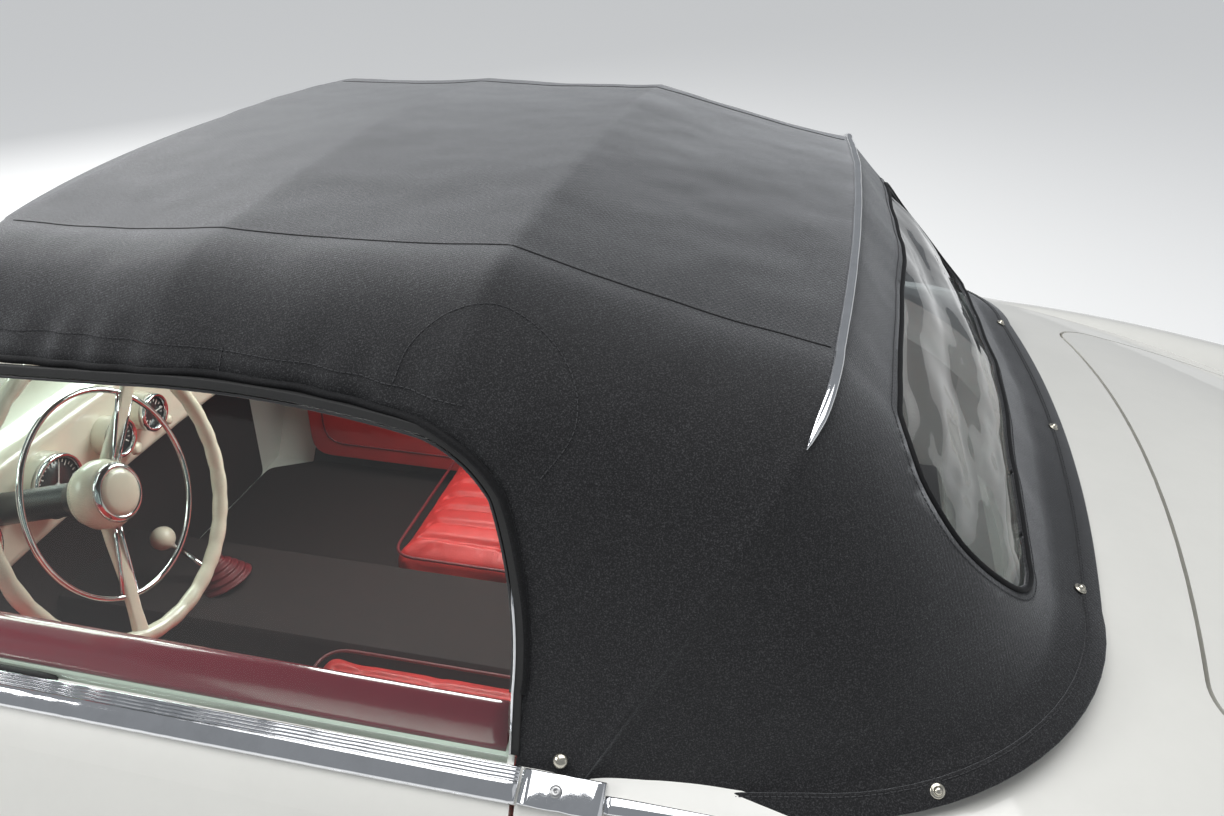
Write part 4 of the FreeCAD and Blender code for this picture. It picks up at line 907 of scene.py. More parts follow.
def stitch_nodes(name):
    """Geometry Nodes that set short threads along the curves of an object."""
    tree = bpy.data.node_groups.new(name + "_nodes", "GeometryNodeTree")
    for label, kind in (("Lines", "Object"), ("Stitch", "Float"), ("Material", "Material")):
        tree.interface.new_socket(label, in_out="INPUT", socket_type="NodeSocket" + kind)
    tree.interface.new_socket("Geometry", in_out="OUTPUT", socket_type="NodeSocketGeometry")
    n = Nodes(tree)
    start, end = n.add("NodeGroupInput").outputs, n.add("NodeGroupOutput")
    curve = n.add("GeometryNodeObjectInfo", {"Object": start["Lines"]}).outputs["Geometry"]
    pitch = n.times(start["Stitch"], STITCH_PITCH)
    spaced = n.add("GeometryNodeResampleCurve", {"Curve": curve, "Length": pitch}, mode="LENGTH")
    tangent = n.add("GeometryNodeInputTangent").outputs[0]
    turn = n.add("FunctionNodeAlignRotationToVector", {"Vector": tangent}, axis="Z")
    shape = {"Vertices": 6, "Side Segments": 1, "Radius": THREAD_RADIUS, "Depth": start["Stitch"]}
    thread = n.add("GeometryNodeMeshCylinder", shape)
    at = {"Points": spaced.outputs[0], "Instance": thread.outputs[0], "Rotation": turn.outputs[0]}
    real = n.add("GeometryNodeRealizeInstances", {0: n.add("GeometryNodeInstanceOnPoints", at).outputs[0]})
    painted = n.add("GeometryNodeSetMaterial", {0: real.outputs[0], "Material": start["Material"]})
    n.put(end, "Geometry", painted.outputs[0])
    return tree


def stitched(name, paths, length):
    """Rows of separate stitches along paths that lie on the cloth, left as a plain mesh."""
    curve = bpy.data.curves.new(name + "_lines", "CURVE")
    curve.dimensions = "3D"
    for path in paths:
        spline = curve.splines.new("POLY")
        spline.points.add(len(path) - 1)
        for point, p in zip(spline.points, path):
            point.co = (*p, 1.0)
    lines = placed(name + "_lines", curve)
    tree = stitch_nodes(name)
    obj = add_object(name, [(0, 0, 0)], [])
    modifier = obj.modifiers.new("stitches", "NODES")
    modifier.node_group = tree
    names = {item.name: item.identifier for item in tree.interface.items_tree if item.in_out == "INPUT"}
    for label, value in (("Lines", lines), ("Stitch", length), ("Material", LOOKS["thread"])):
        modifier[names[label]] = value
    applied(obj)
    bpy.data.objects.remove(lines)
    if not obj.data.polygons:
        raise RuntimeError(f"{name} made no stitches")
    return dress(obj, LOOKS["thread"])


CLOTH = {}

# Stitch lines on the side of the cloth, as (x, z) seen from the side
SIDE_STITCH = (
    (0.160, 1.220), (0.087, 1.227), (-0.046, 1.2337),
    (-0.165, 1.2331), (-0.292, 1.2266), (-0.414, 1.2127),
)
PATCH_STITCH = (
    (-0.346, 1.225), (-0.354, 1.250), (-0.380, 1.2715), (-0.419, 1.2803), (-0.465, 1.265),
    (-0.499, 1.2425), (-0.517, 1.2166), (-0.517, 1.188), (-0.494, 1.1555),
)
CROSS_STITCH = ((-0.167, 1.2333), (-0.169, 1.2120))
HEM_WIDTH = 0.024
STUDS = [(x, sign * y) for x, y in ((-0.877, 0.664), (-1.043, 0.375)) for sign in (1, -1)]
STUDS.append((-1.072, 0.0))
CORNER_SNAP = (-0.528, 0.888)


def hem_line(grid, inset):
    """Points and outward normals along the cloth's rear edge, moved up the cloth by inset."""
    normals = grid_normals(grid)
    path, up = [], []
    for column in range(HEM_COLUMN, COLUMNS - HEM_COLUMN):
        line = grid[::-1, column]
        at = np.concatenate([[0], np.cumsum(np.linalg.norm(np.diff(line, axis=0), axis=1))])
        path.append(Vector([np.interp(inset, at, line[:, k]) for k in range(3)]))
        up.append(Vector(normals[::-1, column][int(np.searchsorted(at, inset))]))
    return path, evened(up, 3)


def on_cloth(x, z, sign=1, lift=0.0):
    """A point on the cloth's side at x, z."""
    return raised(from_side(CLOTH["tree"], x, z, sign), lift)


def along_side(points, sign=1, lift=0.0008, step=0.006):
    return [on_cloth(x, z, sign, lift) for x, z in smooth_path(points, step)]


def round_window(grow, step, lift):
    """Points on the cloth round the rear window, its outline moved out by grow and lifted off the cloth."""
    outline = rear_window(grow)
    return [raised(from_behind(CLOTH["tree"], y, z), lift) for y, z in resample([*outline, outline[0]], step)]


class CONVERTIBLE_OT_cloth(bpy.types.Operator):
    """Cloth top with its seams, hems, stitching and studs"""

    bl_idname = "convertible.cloth"
    bl_label = "Cloth top"

    def execute(self, context):
        settings = context.scene.convertible
        cloth, tree, grid = cloth_mesh()
        CLOTH["tree"], CLOTH["grid"] = tree, grid
        shell = cloth.modifiers.new("thickness", "SOLIDIFY")
        shell.thickness, shell.offset = settings.cloth_thickness, -1.0
        applied(cloth)
        dress(cloth, LOOKS["canvas"], replaces=("soft_top",))
        trims = self.seams(grid) + self.edges() + [self.hem(grid)]
        self.stitches(settings)
        self.studs()
        return {"FINISHED"}

    def seams(self, grid):
        """The piped seams between the roof and its sides."""
        rows = sum(ROW_STEPS[:4])
        cords = []
        for side, column in (("left", SEAM_COLUMN), ("right", COLUMNS - 1 - SEAM_COLUMN)):
            path = resample(grid[2:rows, column], 0.008) - (0, 0, 0.0007)
            cord = sweep(f"roof_seam_{side}", path, ring(0.0017, 8))
            cords.append(dress(cord, LOOKS["canvas_edge"]))
        return cords

    def edges(self):
        """The bound edges round the side windows."""
        outline = door_window(CLOTH_GAP)
        keep = outline[(outline[:, 1] > 0.90) & (outline[:, 0] < 0.15)]
        beads = []
        for sign in (1, -1):
            path = [on_cloth(x, z, sign, 0.001) for x, z in resample(keep, 0.008)]
            bead = sweep(sided("window_binding", sign), path, ring(0.0042, 12))
            beads.append(dress(bead, LOOKS["canvas_edge"]))
        return beads

    def hem(self, grid):
        """The folded hem that lies on the deck all round the back."""
        half = HEM_WIDTH / 2
        path, up = hem_line(grid, half)
        corners = [(-half, -0.0020), (-half, 0.0022), (half, 0.0022), (half, -0.0020)]
        return dress(sweep("deck_hem", path, rounded(corners, 0.0018, 4), up=up), LOOKS["canvas"])

    def stitches(self, settings):
        patterns = (SIDE_STITCH, PATCH_STITCH, CROSS_STITCH)
        lines = [along_side(line, sign) for sign in (1, -1) for line in patterns]
        stitched("side_stitching", lines, settings.stitch_length)
        hem = [p + n * 0.0026 for p, n in zip(*hem_line(CLOTH["grid"], HEM_WIDTH * 0.86))]
        stitched("hem_stitching", [hem, round_window(0.012, 0.006, 0.0008)], settings.stitch_length)

    def studs(self):
        """Turn-button studs that hold the hem to the deck, and a snap at each front corner of the skirt."""
        outline = [(-0.001, 0.0005), (-0.001, 0.0070), (0.0010, 0.0072), (0.0016, 0.0062), (0.0014, 0.0046)]
        outline += [(0.0024, 0.0042), (0.0044, 0.0036), (0.0054, 0.0024), (0.0057, 0.0005)]
        studs = []
        for x, y in STUDS:
            hit = from_above(CLOTH["tree"], x, y)
            studs.append(lathe("stud", outline, raised(hit, 0.0022), hit[1], 24))
        outline = [(-0.001, 0.0005), (-0.001, 0.0075)] + dome(0.0075, 0.0045, 8)
        for sign in (1, -1):
            studs.append(lathe("snap", outline, on_cloth(*CORNER_SNAP, sign, 0.001), (0, sign, 0.9), 24))
        dress(joined("hem_studs", studs), LOOKS["brass_stud"])


def carried(material, *nodes):
    """Gives CAD nodes that stay in view their finish."""
    for node in nodes:
        NODES[node].data.materials.clear()
        NODES[node].data.materials.append(material)


def sided(stem, sign):
    return f"{stem}_{'left' if sign > 0 else 'right'}"


def both_sides(make, material, body="body"):
    """Builds a left-hand piece, dresses it and its mirrored twin; body may name a pair by its stem."""
    left = make()
    name = left.name
    right = mirrored_copy(left, sided(name, -1))
    left.name = sided(name, 1)
    for obj, sign in ((left, 1), (right, -1)):
        dress(obj, material, sided(body, sign) if body == "door" else body)
    return left, right


class CONVERTIBLE_OT_bodywork(bpy.types.Operator):
    """Paint and metal of the pieces that stay as they are"""

    bl_idname = "convertible.bodywork"
    bl_label = "Bodywork"

    def execute(self, context):
        shell = ("body_front", "cowl", "body_rear", "bonnet", "boot_lid", "door_left", "door_right")
        carried(LOOKS["cream_paint"], *shell)
        carried(LOOKS["underside"], "floor_pan", "exhaust", "drivetrain")
        carried(LOOKS["cast_alloy"], "front_suspension", "rear_axle", "knuckle_left", "knuckle_right")
        carried(LOOKS["chrome"], "windscreen_frame", "front_bumper", "rear_bumper", "grille")
        carried(LOOKS["glass"], "windscreen_glass", "door_glass_left", "door_glass_right")
        carried(LOOKS["black_paint"], "top_bows", "steering_column")
        carried(LOOKS["dash_paint"], "dashboard")
        return {"FINISHED"}


# Belt moulding: its middle line's y, half width, and where the door, bracket and strip end along the car
BELT_Y, BELT_HALF = 0.715, 0.0175
DOOR_REAR, DOOR_FRONT = -0.4905, 0.500
BRACKET_REAR, STRIP_REAR = -0.576, -0.756
# Door glass: how far it leans inwards by height, and a point of its foot
GLASS_LEAN, GLASS_FOOT_Y, GLASS_FOOT_Z = 0.27, 0.693, 0.885
GLASS_OUT = Vector((0, 1, GLASS_LEAN)).normalized()


def on_top(tree, points, low=-2.0, high=2.0):
    """Points and normals of a surface seen from above, carried on straight outside low to high along X."""
    hits = [from_above(tree, min(max(x, low), high), y) for x, y in points]
    return [Vector((x, h[0].y, h[0].z)) for (x, _), h in zip(points, hits)], [h[1] for h in hits]


class CONVERTIBLE_OT_mouldings(bpy.types.Operator):
    """Polished belt mouldings, brackets and glass seals"""

    bl_idname = "convertible.mouldings"
    bl_label = "Mouldings"

    def execute(self, context):
        self.door_tree = tree_of(NODES["door_left"])
        self.rear_tree = tree_of(NODES["body_rear"])
        both_sides(self.belt, LOOKS["chrome"], "door")
        both_sides(self.seal, LOOKS["rubber"], "door")
        both_sides(self.bracket, LOOKS["chrome"])
        both_sides(self.screw, LOOKS["dull_metal"])
        both_sides(self.strip, LOOKS["chrome"])
        both_sides(self.glass_edge, LOOKS["black_plastic"], "door")
        both_sides(self.glass_post, LOOKS["chrome"], "door")
        both_sides(self.glass_seal, LOOKS["rubber"], "door")
        return {"FINISHED"}

    def belt(self):
        """The door's moulding: a raised bar with four fine grooves."""
        places = [(x, BELT_Y) for x in np.arange(DOOR_REAR, DOOR_FRONT, 0.01)]
        path, up = on_top(self.door_tree, places, low=-0.480)
        half, crown, floor = BELT_HALF, 0.0078, 0.0066
        profile = [(-half, -0.001), (-half, 0.004), (-half + 0.003, 0.0068), (0.0, crown)]
        for k in range(4):
            at = 0.0035 + k * 0.0034
            profile += [(at, crown), (at + 0.0006, floor), (at + 0.0014, floor), (at + 0.002, crown)]
        return sweep("belt_moulding", path, profile + [(half, 0.0060), (half, -0.001)], up=up)

    def seal(self):
        path, up = on_top(self.door_tree, [(x, 0.6975) for x in np.arange(-0.470, 0.500, 0.012)])
        profile = [(-0.0035, -0.002), (0.0035, -0.002), (0.0030, 0.0055)]
        return sweep("belt_seal", path, profile + [(-0.0010, 0.0085), (-0.0035, 0.0065)], up=up)

    def bracket(self):
        places = [(x, BELT_Y) for x in np.linspace(DOOR_REAR - 0.0035, BRACKET_REAR, 9)]
        path, up = on_top(self.rear_tree, places, high=-0.499)
        half = BELT_HALF * 0.98
        corners = [(-half, -0.001), (-half, 0.0085), (half, 0.0085), (half, -0.001)]
        return sweep("belt_bracket", path, rounded(corners, 0.0022), up=up)

    def screw(self):
        (point,), (normal,) = on_top(self.rear_tree, [((DOOR_REAR + BRACKET_REAR) / 2 + 0.004, BELT_Y)])
        outline = [(0.004, 0.0062), (0.0098, 0.0062), (0.0112, 0.0048)]
        outline += [(0.0116, 0.0012), (0.0104, 0.0010), (0.0104, 0.0004)]
        return lathe("bracket_screw", outline, point, normal, 24)

    def strip(self):
        xs = np.linspace(BRACKET_REAR - 0.001, STRIP_REAR, 24)
        path, up = on_top(self.rear_tree, [(x, BELT_Y + 0.002 - 0.02 * (BRACKET_REAR - x)) for x in xs])
        scale = [1.0 - 0.62 * t ** 1.3 for t in np.linspace(0, 1, len(xs))]
        half, shoulder = 0.0085, 0.0040
        corners = [(-half, -0.001), (-half, shoulder), (0.0, 0.0058), (half, shoulder), (half, -0.001)]
        return sweep("quarter_strip", path, rounded(corners, 0.002), up=up, scale=scale)

    def on_glass(self, x, z):
        return Vector((x, GLASS_FOOT_Y - GLASS_LEAN * (z - GLASS_FOOT_Z), z))

    def edge_path(self, grow):
        outline = [(x, z) for x, z in door_window(grow) if z > 0.90 and x < 0.20]
        return [self.on_glass(x, z) for x, z in resample(outline, 0.006)]

    def glass_post(self):
        """The bright channel up the rear edge of the glass."""
        end = 1.06
        path = [p for p in self.edge_path(0.0035) if p.z < end]
        path = [self.on_glass(path[0].x, GLASS_FOOT_Z)] + path
        scale = [min(1.0, 0.25 + (end - p.z) / 0.03) for p in path]
        profile = panel(-0.0013, -0.0052, 0.0013, 0.0052, 0.0008)
        return sweep("glass_post", path, profile, up=GLASS_OUT, scale=scale)

    def glass_edge(self):
        path = [p for p in self.edge_path(0.0012) if p.z > 0.90]
        return sweep("glass_edge", path, panel(-0.0014, -0.0040, 0.0014, 0.0040, 0.0008), up=GLASS_OUT)

    def glass_seal(self):
        path = self.edge_path(0.0078)
        foot = [self.on_glass(path[0].x, z) for z in (GLASS_FOOT_Z, GLASS_FOOT_Z + 0.007)]
        corners = [(-0.0044, -0.0070), (0.0044, -0.0070), (0.0046, 0.0040), (-0.0044, 0.0040)]
        return sweep("glass_seal", foot + path, rounded(corners, 0.0012), up=GLASS_OUT)


class CONVERTIBLE_OT_bow_strip(bpy.types.Operator):
    """Polished half-round strip over the rear bow"""

    bl_idname = "convertible.bow_strip"
    bl_label = "Bow strip"

    half, height, tip = 0.0050, 0.0062, 0.035

    def execute(self, context):
        line = [Vector(p) for p in CLOTH["grid"][sum(ROW_STEPS[:4])]]
        path = [Vector(p) for p in resample([p for p in line if abs(p.y) <= 0.566 and p.z > 1.12], 0.008)]
        ups, scale = [], []
        for p in path:
            normal = CLOTH["tree"].find_nearest(p)[1]
            normal = normal if normal.dot(p - Vector((-0.2, 0, 0.8))) > 0 else -normal
            ups.append((normal + Vector((-0.35, 0, 0.25))).normalized())
            from_tip = min((p - path[0]).length, (p - path[-1]).length)
            scale.append(max(0.06, min(1.0, (from_tip / self.tip) ** 0.6)))
        ups = evened(ups, 12)
        turns = np.linspace(0, math.pi, 12)
        profile = [(self.half * math.cos(a), self.height * math.sin(a)) for a in turns]
        profile += [(-self.half, -0.003), (self.half, -0.003)]
        strip = sweep("bow_strip", [p + n * 0.001 for p, n in zip(path, ups)], profile, up=ups, scale=scale)
        dress(strip, LOOKS["chrome"], replaces=("bow_trim",))
        return {"FINISHED"}


class CONVERTIBLE_OT_rear_pane(bpy.types.Operator):
    """Clear flexible rear window with its bound edge"""

    bl_idname = "convertible.rear_pane"
    bl_label = "Rear window"

    rings, behind, sheet = 46, 0.0052, 0.0012

    def execute(self, context):
        outline = rear_window(0.016)
        centre = outline.mean(axis=0)
        m = len(outline)
        verts = [self.wavy(*centre, 0.0)]
        for k in range(1, self.rings + 1):
            t = k / self.rings
            verts += [self.wavy(y, z, t) for y, z in centre + (outline - centre) * t]
        faces = [tuple(1 + v for v in face) for face in tube_faces(self.rings, m)]
        faces += [(0, 1 + i, 1 + (i + 1) % m) for i in range(m)]
        pane = mended(add_object("rear_pane", verts, faces))
        wall = pane.modifiers.new("thickness", "SOLIDIFY")
        wall.thickness = self.sheet
        applied(pane)
        dress(pane, LOOKS["vinyl"], replaces=("rear_window",))
        edge = round_window(0.003, 0.010, 0.0006)[:-1]
        rim = sweep("rear_pane_binding", edge, ring(0.0032, 10), closed=True)
        dress(rim, LOOKS["canvas_edge"])
        return {"FINISHED"}

    def wavy(self, y, z, t):
        """A point of the sheet behind the cloth, with waves that die out towards its edge at t = 1."""
        edge = min(1.0, (1 - t) / 0.12)
        sag = 0.0034 * math.sin(z * 41 + 2.0 * math.sin(y * 4.2)) + 0.0012 * math.sin(z * 87 + y * 9)
        return raised(from_behind(CLOTH["tree"], y, z), -(self.behind + sag * edge * edge))


WHEEL_AT, WHEEL_TILT = Vector((0.213, 0.350, 0.864)), math.radians(16.3)
COLUMN_AXIS = Vector((-math.cos(WHEEL_TILT), 0, math.sin(WHEEL_TILT)))


def on_column(across, over, along):
    """A point by its place across and over the steering wheel's disc and along the column to the driver."""
    side = Vector((0, 1, 0))
    upright = COLUMN_AXIS.cross(side)
    upright = upright if upright.z > 0 else -upright
    return WHEEL_AT + side * across + upright * over + COLUMN_AXIS * along


class CONVERTIBLE_OT_steering(bpy.types.Operator):
    """Ivory steering wheel with its horn ring"""

    bl_idname = "convertible.steering"
    bl_label = "Steering wheel"

    rim_radius, ring_radius = 0.208, 0.148
    spoke_turns = (math.radians(-45), math.radians(156))

    def execute(self, context):
        parts = [self.rim(), self.hub()] + [self.spoke(turn) for turn in self.spoke_turns]
        wheel = joined("steering_wheel_ivory", parts)
        dress(wheel, LOOKS["ivory"], "steering_wheel", replaces=("steering_wheel",))
        metal = [self.horn_ring(), self.cap_ring(), self.shaft()]
        metal += [self.stay(turn + side * 0.085) for turn in self.spoke_turns for side in (1, -1)]
        dress(joined("horn_ring", metal), LOOKS["chrome"], "steering_wheel")
        return {"FINISHED"}

    def circle(self, radius, along, count=96):
        turns = np.linspace(0, 2 * math.pi, count, endpoint=False)
        return [on_column(radius * math.cos(a), radius * math.sin(a), along) for a in turns]

    def rim(self):
        count, grips = 192, 32
        path = self.circle(self.rim_radius, 0.0, count)
        scale = [1.0 - 0.09 * max(0.0, math.cos(2 * math.pi * grips * k / count)) for k in range(count)]
        return sweep("rim", path, ring(0.0117, 14), closed=True, up=COLUMN_AXIS, scale=scale)

    def horn_ring(self):
        path = self.circle(self.ring_radius, -0.008)
        return sweep("horn", path, ring(0.0042, 10), closed=True, up=COLUMN_AXIS)

    def hub(self):
        outline = [(-0.044, 0.030), (-0.044, 0.044), (-0.030, 0.050), (-0.014, 0.050), (-0.004, 0.045)]
        outline += [(0.001, 0.040), (0.004, 0.0345), (0.0085, 0.0325)]
        outline += [(0.0105, 0.026), (0.0118, 0.014), (0.012, 0.0005)]
        return lathe("hub", outline, WHEEL_AT, COLUMN_AXIS, 56)

    def cap_ring(self):
        outline = [(0.0005, 0.0335), (0.0005, 0.0430), (0.0035, 0.0425)]
        outline += [(0.0075, 0.0390), (0.0085, 0.0355), (0.0070, 0.0335)]
        return turned_ring("cap_ring", outline, WHEEL_AT, COLUMN_AXIS, 56)

    def shaft(self):
        outline = [(-0.19, 0.0005), (-0.19, 0.0108), (-0.03, 0.0108), (-0.03, 0.0005)]
        return lathe("shaft", outline, WHEEL_AT, COLUMN_AXIS, 24)

    def radial(self, turn, stops):
        return [on_column(r * math.sin(turn), r * math.cos(turn), along) for r, along in stops]

    def spoke(self, turn):
        stops = ((0.020, -0.022), (0.070, -0.018), (0.120, -0.010))
        stops += ((0.170, -0.004), (0.198, 0.0), (0.206, 0.0))
        scale = (1.45, 1.12, 0.9, 0.86, 1.0, 1.15)
        profile = panel(-0.0125, -0.0055, 0.0125, 0.0055, 0.005, 4)
        return sweep("spoke", self.radial(turn, stops), profile, up=COLUMN_AXIS, scale=scale)

    def stay(self, turn):
        stops = ((0.040, -0.010), (0.07, -0.009), (0.11, -0.008), (0.148, -0.008))
        return sweep("stay", self.radial(turn, stops), ring(0.0030, 8))


# Gauges: y and radius of each, on one line across the dashboard
GAUGES = ((0.438, 0.052), (0.262, 0.052), (0.110, 0.034), (0.020, 0.034))
GAUGE_X, GAUGE_Z = 0.4035, 0.792
# Knobs of the dashboard: y, z and radius
KNOBS = (
    (0.20, 0.748, 0.010), (0.165, 0.748, 0.010), (0.130, 0.748, 0.010),
    (0.065, 0.742, 0.012), (-0.03, 0.748, 0.010), (0.52, 0.77, 0.010),
)
RAIL = (
    (0.436, -0.13, 0.800), (0.404, -0.145, 0.806), (0.392, -0.18, 0.808), (0.386, -0.30, 0.808),
    (0.382, -0.42, 0.808), (0.386, -0.455, 0.806), (0.42, -0.47, 0.800),
)


class CONVERTIBLE_OT_dials(bpy.types.Operator):
    """Gauges, switches and grab rail of the dashboard"""

    bl_idname = "convertible.dials"
    bl_label = "Dials"

    toward = Vector((-1, 0, 0))

    def execute(self, context):
        bezels, faces, marks = [], [], []
        for y, radius in GAUGES:
            at, inner = Vector((GAUGE_X, y, GAUGE_Z)), radius - 0.007
            outline = [(0.0, radius), (0.009, radius), (0.012, radius - 0.003), (0.009, inner), (0.0, inner)]
            bezels.append(turned_ring("bezel", outline, at, self.toward, 48))
            outline = [(-0.002, 0.0005), (-0.002, radius - 0.002), (0.0025, radius - 0.003), (0.0030, 0.0005)]
            faces.append(lathe("face", outline, at, self.toward, 48))
            marks += self.marks(at, y, radius)
        dress(joined("gauge_bezels", bezels), LOOKS["chrome"])
        dress(joined("gauge_faces", faces), LOOKS["black_plastic"])
        dress(joined("gauge_marks", marks), LOOKS["dial_white"])
        dress(joined("dash_knobs", [self.knob(*place) for place in KNOBS]), LOOKS["ivory"])
        dress(sweep("grab_rail", smooth_path(RAIL, 0.008), ring(0.0075, 12)), LOOKS["ivory"])
        return {"FINISHED"}

    def marks(self, at, y, radius):
        """Scale marks, needle and boss of one gauge."""
        count = 24 if radius > 0.04 else 12
        marks = []
        for k in range(count + 1):
            length, end = 0.009 if k % 4 == 0 else 0.005, radius - 0.010
            angle = math.radians(-135 + 270 * k / count)
            marks.append(self.bar(at, angle, end - length, end, 0.0011, 0.0034))
        marks.append(self.bar(at, math.radians(-100 + 300 * y), -0.008, radius * 0.72, 0.0014, 0.0048))
        boss = [(0.003, 0.0005), (0.003, 0.005), (0.0062, 0.004), (0.0065, 0.0005)]
        return marks + [lathe("boss", boss, at, self.toward, 16)]

    def knob(self, y, z, r):
        outline = [(-0.02, 0.003), (0.008, 0.003), (0.010, r * 0.8), (0.014, r), (0.020, r * 0.9)]
        outline += [(0.0225, r * 0.5), (0.023, 0.0005)]
        x = 0.402 + 0.028 * (1 - (y / 0.592) ** 2)
        return lathe("knob", outline, (x, y, z), self.toward, 20)

    def bar(self, at, angle, start, end, half, depth):
        """A flat tapered mark on a gauge, from start to end along its radius."""
        c, s = math.cos(angle), math.sin(angle)

        def place(a, b, d):
            return at + Vector((-depth - d, a * s + b * c, a * c - b * s))

        outline = [(start, -half), (end, -half * 0.6), (end, half * 0.6), (start, half)]
        return plate("mark", outline, place, 0.0006)


# Flat trim: outline, axis that it faces, its place on that axis, way that it thickens, thickness, bevel
MAT = ((-0.480, 0.1225), (0.630, 0.1225), (0.630, 0.620), (0.520, 0.685), (-0.480, 0.685))
QUARTER = ((-0.600, 0.42), (-0.502, 0.42), (-0.502, 0.862), (-0.590, 0.862), (-0.600, 0.80))
TUNNEL = (
    (-0.122, 0.2446), (-0.122, 0.400), (-0.112, 0.412), (0.112, 0.412), (0.122, 0.400), (0.122, 0.2446),
    (0.116, 0.2446), (0.116, 0.4055), (-0.116, 0.4055), (-0.116, 0.2446),
)
FLAT = {
    "door_card": (panel(-0.470, 0.305, 0.500, 0.838, 0.05), 1, 0.6412, -1, 0.008, 0.003),
    "floor_mat": (rounded(MAT, 0.02), 2, 0.2446, 1, 0.006, 0.002),
    "quarter_card": (rounded(QUARTER, 0.02), 1, 0.626, -1, 0.007, 0.003),
    "arch_board": (panel(0.606, 0.252, 0.800, 0.640, 0.01), 0, -0.642, 1, 0.006, 0.002),
    "tunnel_carpet": (TUNNEL, 0, -0.496, 1, 1.128, 0.0015),
    "firewall_carpet": (panel(-0.60, 0.246, 0.60, 0.80, 0.02), 0, 0.6395, -1, 0.006, 0.002),
    "shelf_carpet": (panel(-1.010, -0.555, -0.702, 0.555, 0.01), 2, 0.5202, 1, 0.006, 0.002),
    "kick_carpet": (panel(-0.62, 0.250, 0.62, 0.524, 0.01), 0, -0.6995, 1, 0.006, 0.002),
    "core": (panel(-0.335, 0.425, 0.335, 0.595, 0.03), 0, 1.905, 1, 0.018, 0.002),
}


def flat(name, outline=None, axis=0, at=0.0, way=1, thickness=0.0, bevel=0.0):
    """A flat piece of trim, from the table or from its own outline."""
    if outline is None:
        outline, axis, at, way, thickness, bevel = FLAT[name]

    def place(a, b, d):
        spot = [a, b]
        spot.insert(axis, at + way * d)
        return spot

    return plate(name, outline, place, thickness, bevel)


class CONVERTIBLE_OT_cabin(bpy.types.Operator):
    """Door caps and cards, carpets, gear lever and inner trim"""

    bl_idname = "convertible.cabin"
    bl_label = "Cabin"

    piping_y, piping_radius = 0.6330, 0.0022

    def execute(self, context):
        both_sides(self.cap, LOOKS["burgundy"], "door")
        both_sides(lambda: flat("door_card"), LOOKS["red_leather"], "door")
        both_sides(self.card_piping, LOOKS["dark_leather"], "door")
        both_sides(lambda: flat("floor_mat"), LOOKS["carpet"])
        both_sides(lambda: flat("quarter_card"), LOOKS["red_leather"])
        both_sides(lambda: flat("arch_board"), LOOKS["carpet"])
        for name in ("tunnel_carpet", "firewall_carpet", "shelf_carpet", "kick_carpet"):
            dress(flat(name), LOOKS["carpet"])
        self.gear_lever()
        return {"FINISHED"}

    def cap(self):
        """The padded cap along the top of the door, inside the glass."""
        outline = [(0.6885, 0.880), (0.6885, 0.8862), (0.672, 0.8915), (0.655, 0.8955), (0.642, 0.8965)]
        outline += [(0.632, 0.8925), (0.6265, 0.882), (0.6262, 0.834), (0.642, 0.834)]
        smooth = rounded(outline, 0.006, 4)
        door = tree_of(NODES["door_left"])
        verts = []
        for x in np.linspace(-0.470, 0.470, 40):
            lift = from_above(door, x, 0.66)[0].z - 0.8896
            verts += [(x, y, z + lift) for y, z in smooth]
        return tube("door_cap", verts, len(smooth))

    def card_piping(self):
        outline = panel(-0.430, 0.345, 0.460, 0.800, 0.05)
        loop = [Vector((a, self.piping_y, b)) for a, b in resample(outline + outline[:1], 0.02)[:-1]]
        lines = [sweep("line", loop, ring(self.piping_radius, 8), closed=True)]
        for z in (0.49, 0.64):
            path = [Vector((x, self.piping_y, z)) for x in np.linspace(-0.43, 0.46, 30)]
            lines.append(sweep("line", path, ring(self.piping_radius, 8)))
        return joined("card_piping", lines)

    def gear_lever(self):
        foot, knob = Vector((0.348, 0, 0.410)), Vector((0.465, 0, 0.493))
        axis = (knob - foot).normalized()
        stick = sweep("stick", [foot + axis * 0.01, foot + axis * 0.06, knob], ring(0.0055, 12))
        dress(stick, LOOKS["chrome"], replaces=("gear_lever",))
        radius = 0.0235
        turns = np.linspace(-math.pi / 2 + 0.02, math.pi / 2 - 0.02, 22)
        ball = [(radius * math.sin(t), radius * math.cos(t)) for t in turns]
        dress(lathe("gear_knob", ball, knob, axis, 32), LOOKS["ivory"])
        steps = [k / 40 for k in range(41)]
        folds = [(t * 0.055, 0.044 * (1 - t) ** 0.8 + 0.010 + 0.0022 * math.sin(t * 30)) for t in steps]
        gaiter = lathe("gear_gaiter", folds, (0.347, 0, 0.4105), (0.35, 0, 0.94), 40)
        dress(gaiter, LOOKS["dark_leather"])


SEAT_SIZES = {"seat_cushion": (0.50, 0.456, 0.184), "seat_back": (0.120, 0.456, 0.450)}
SEAT_REAR, SEAT_LEAN = -0.420, math.radians(18)
SEAT_FOOT, BACK_FOOT = 0.2515, 0.2715
CHANNELS = tuple(np.linspace(-0.155, 0.155, 7))


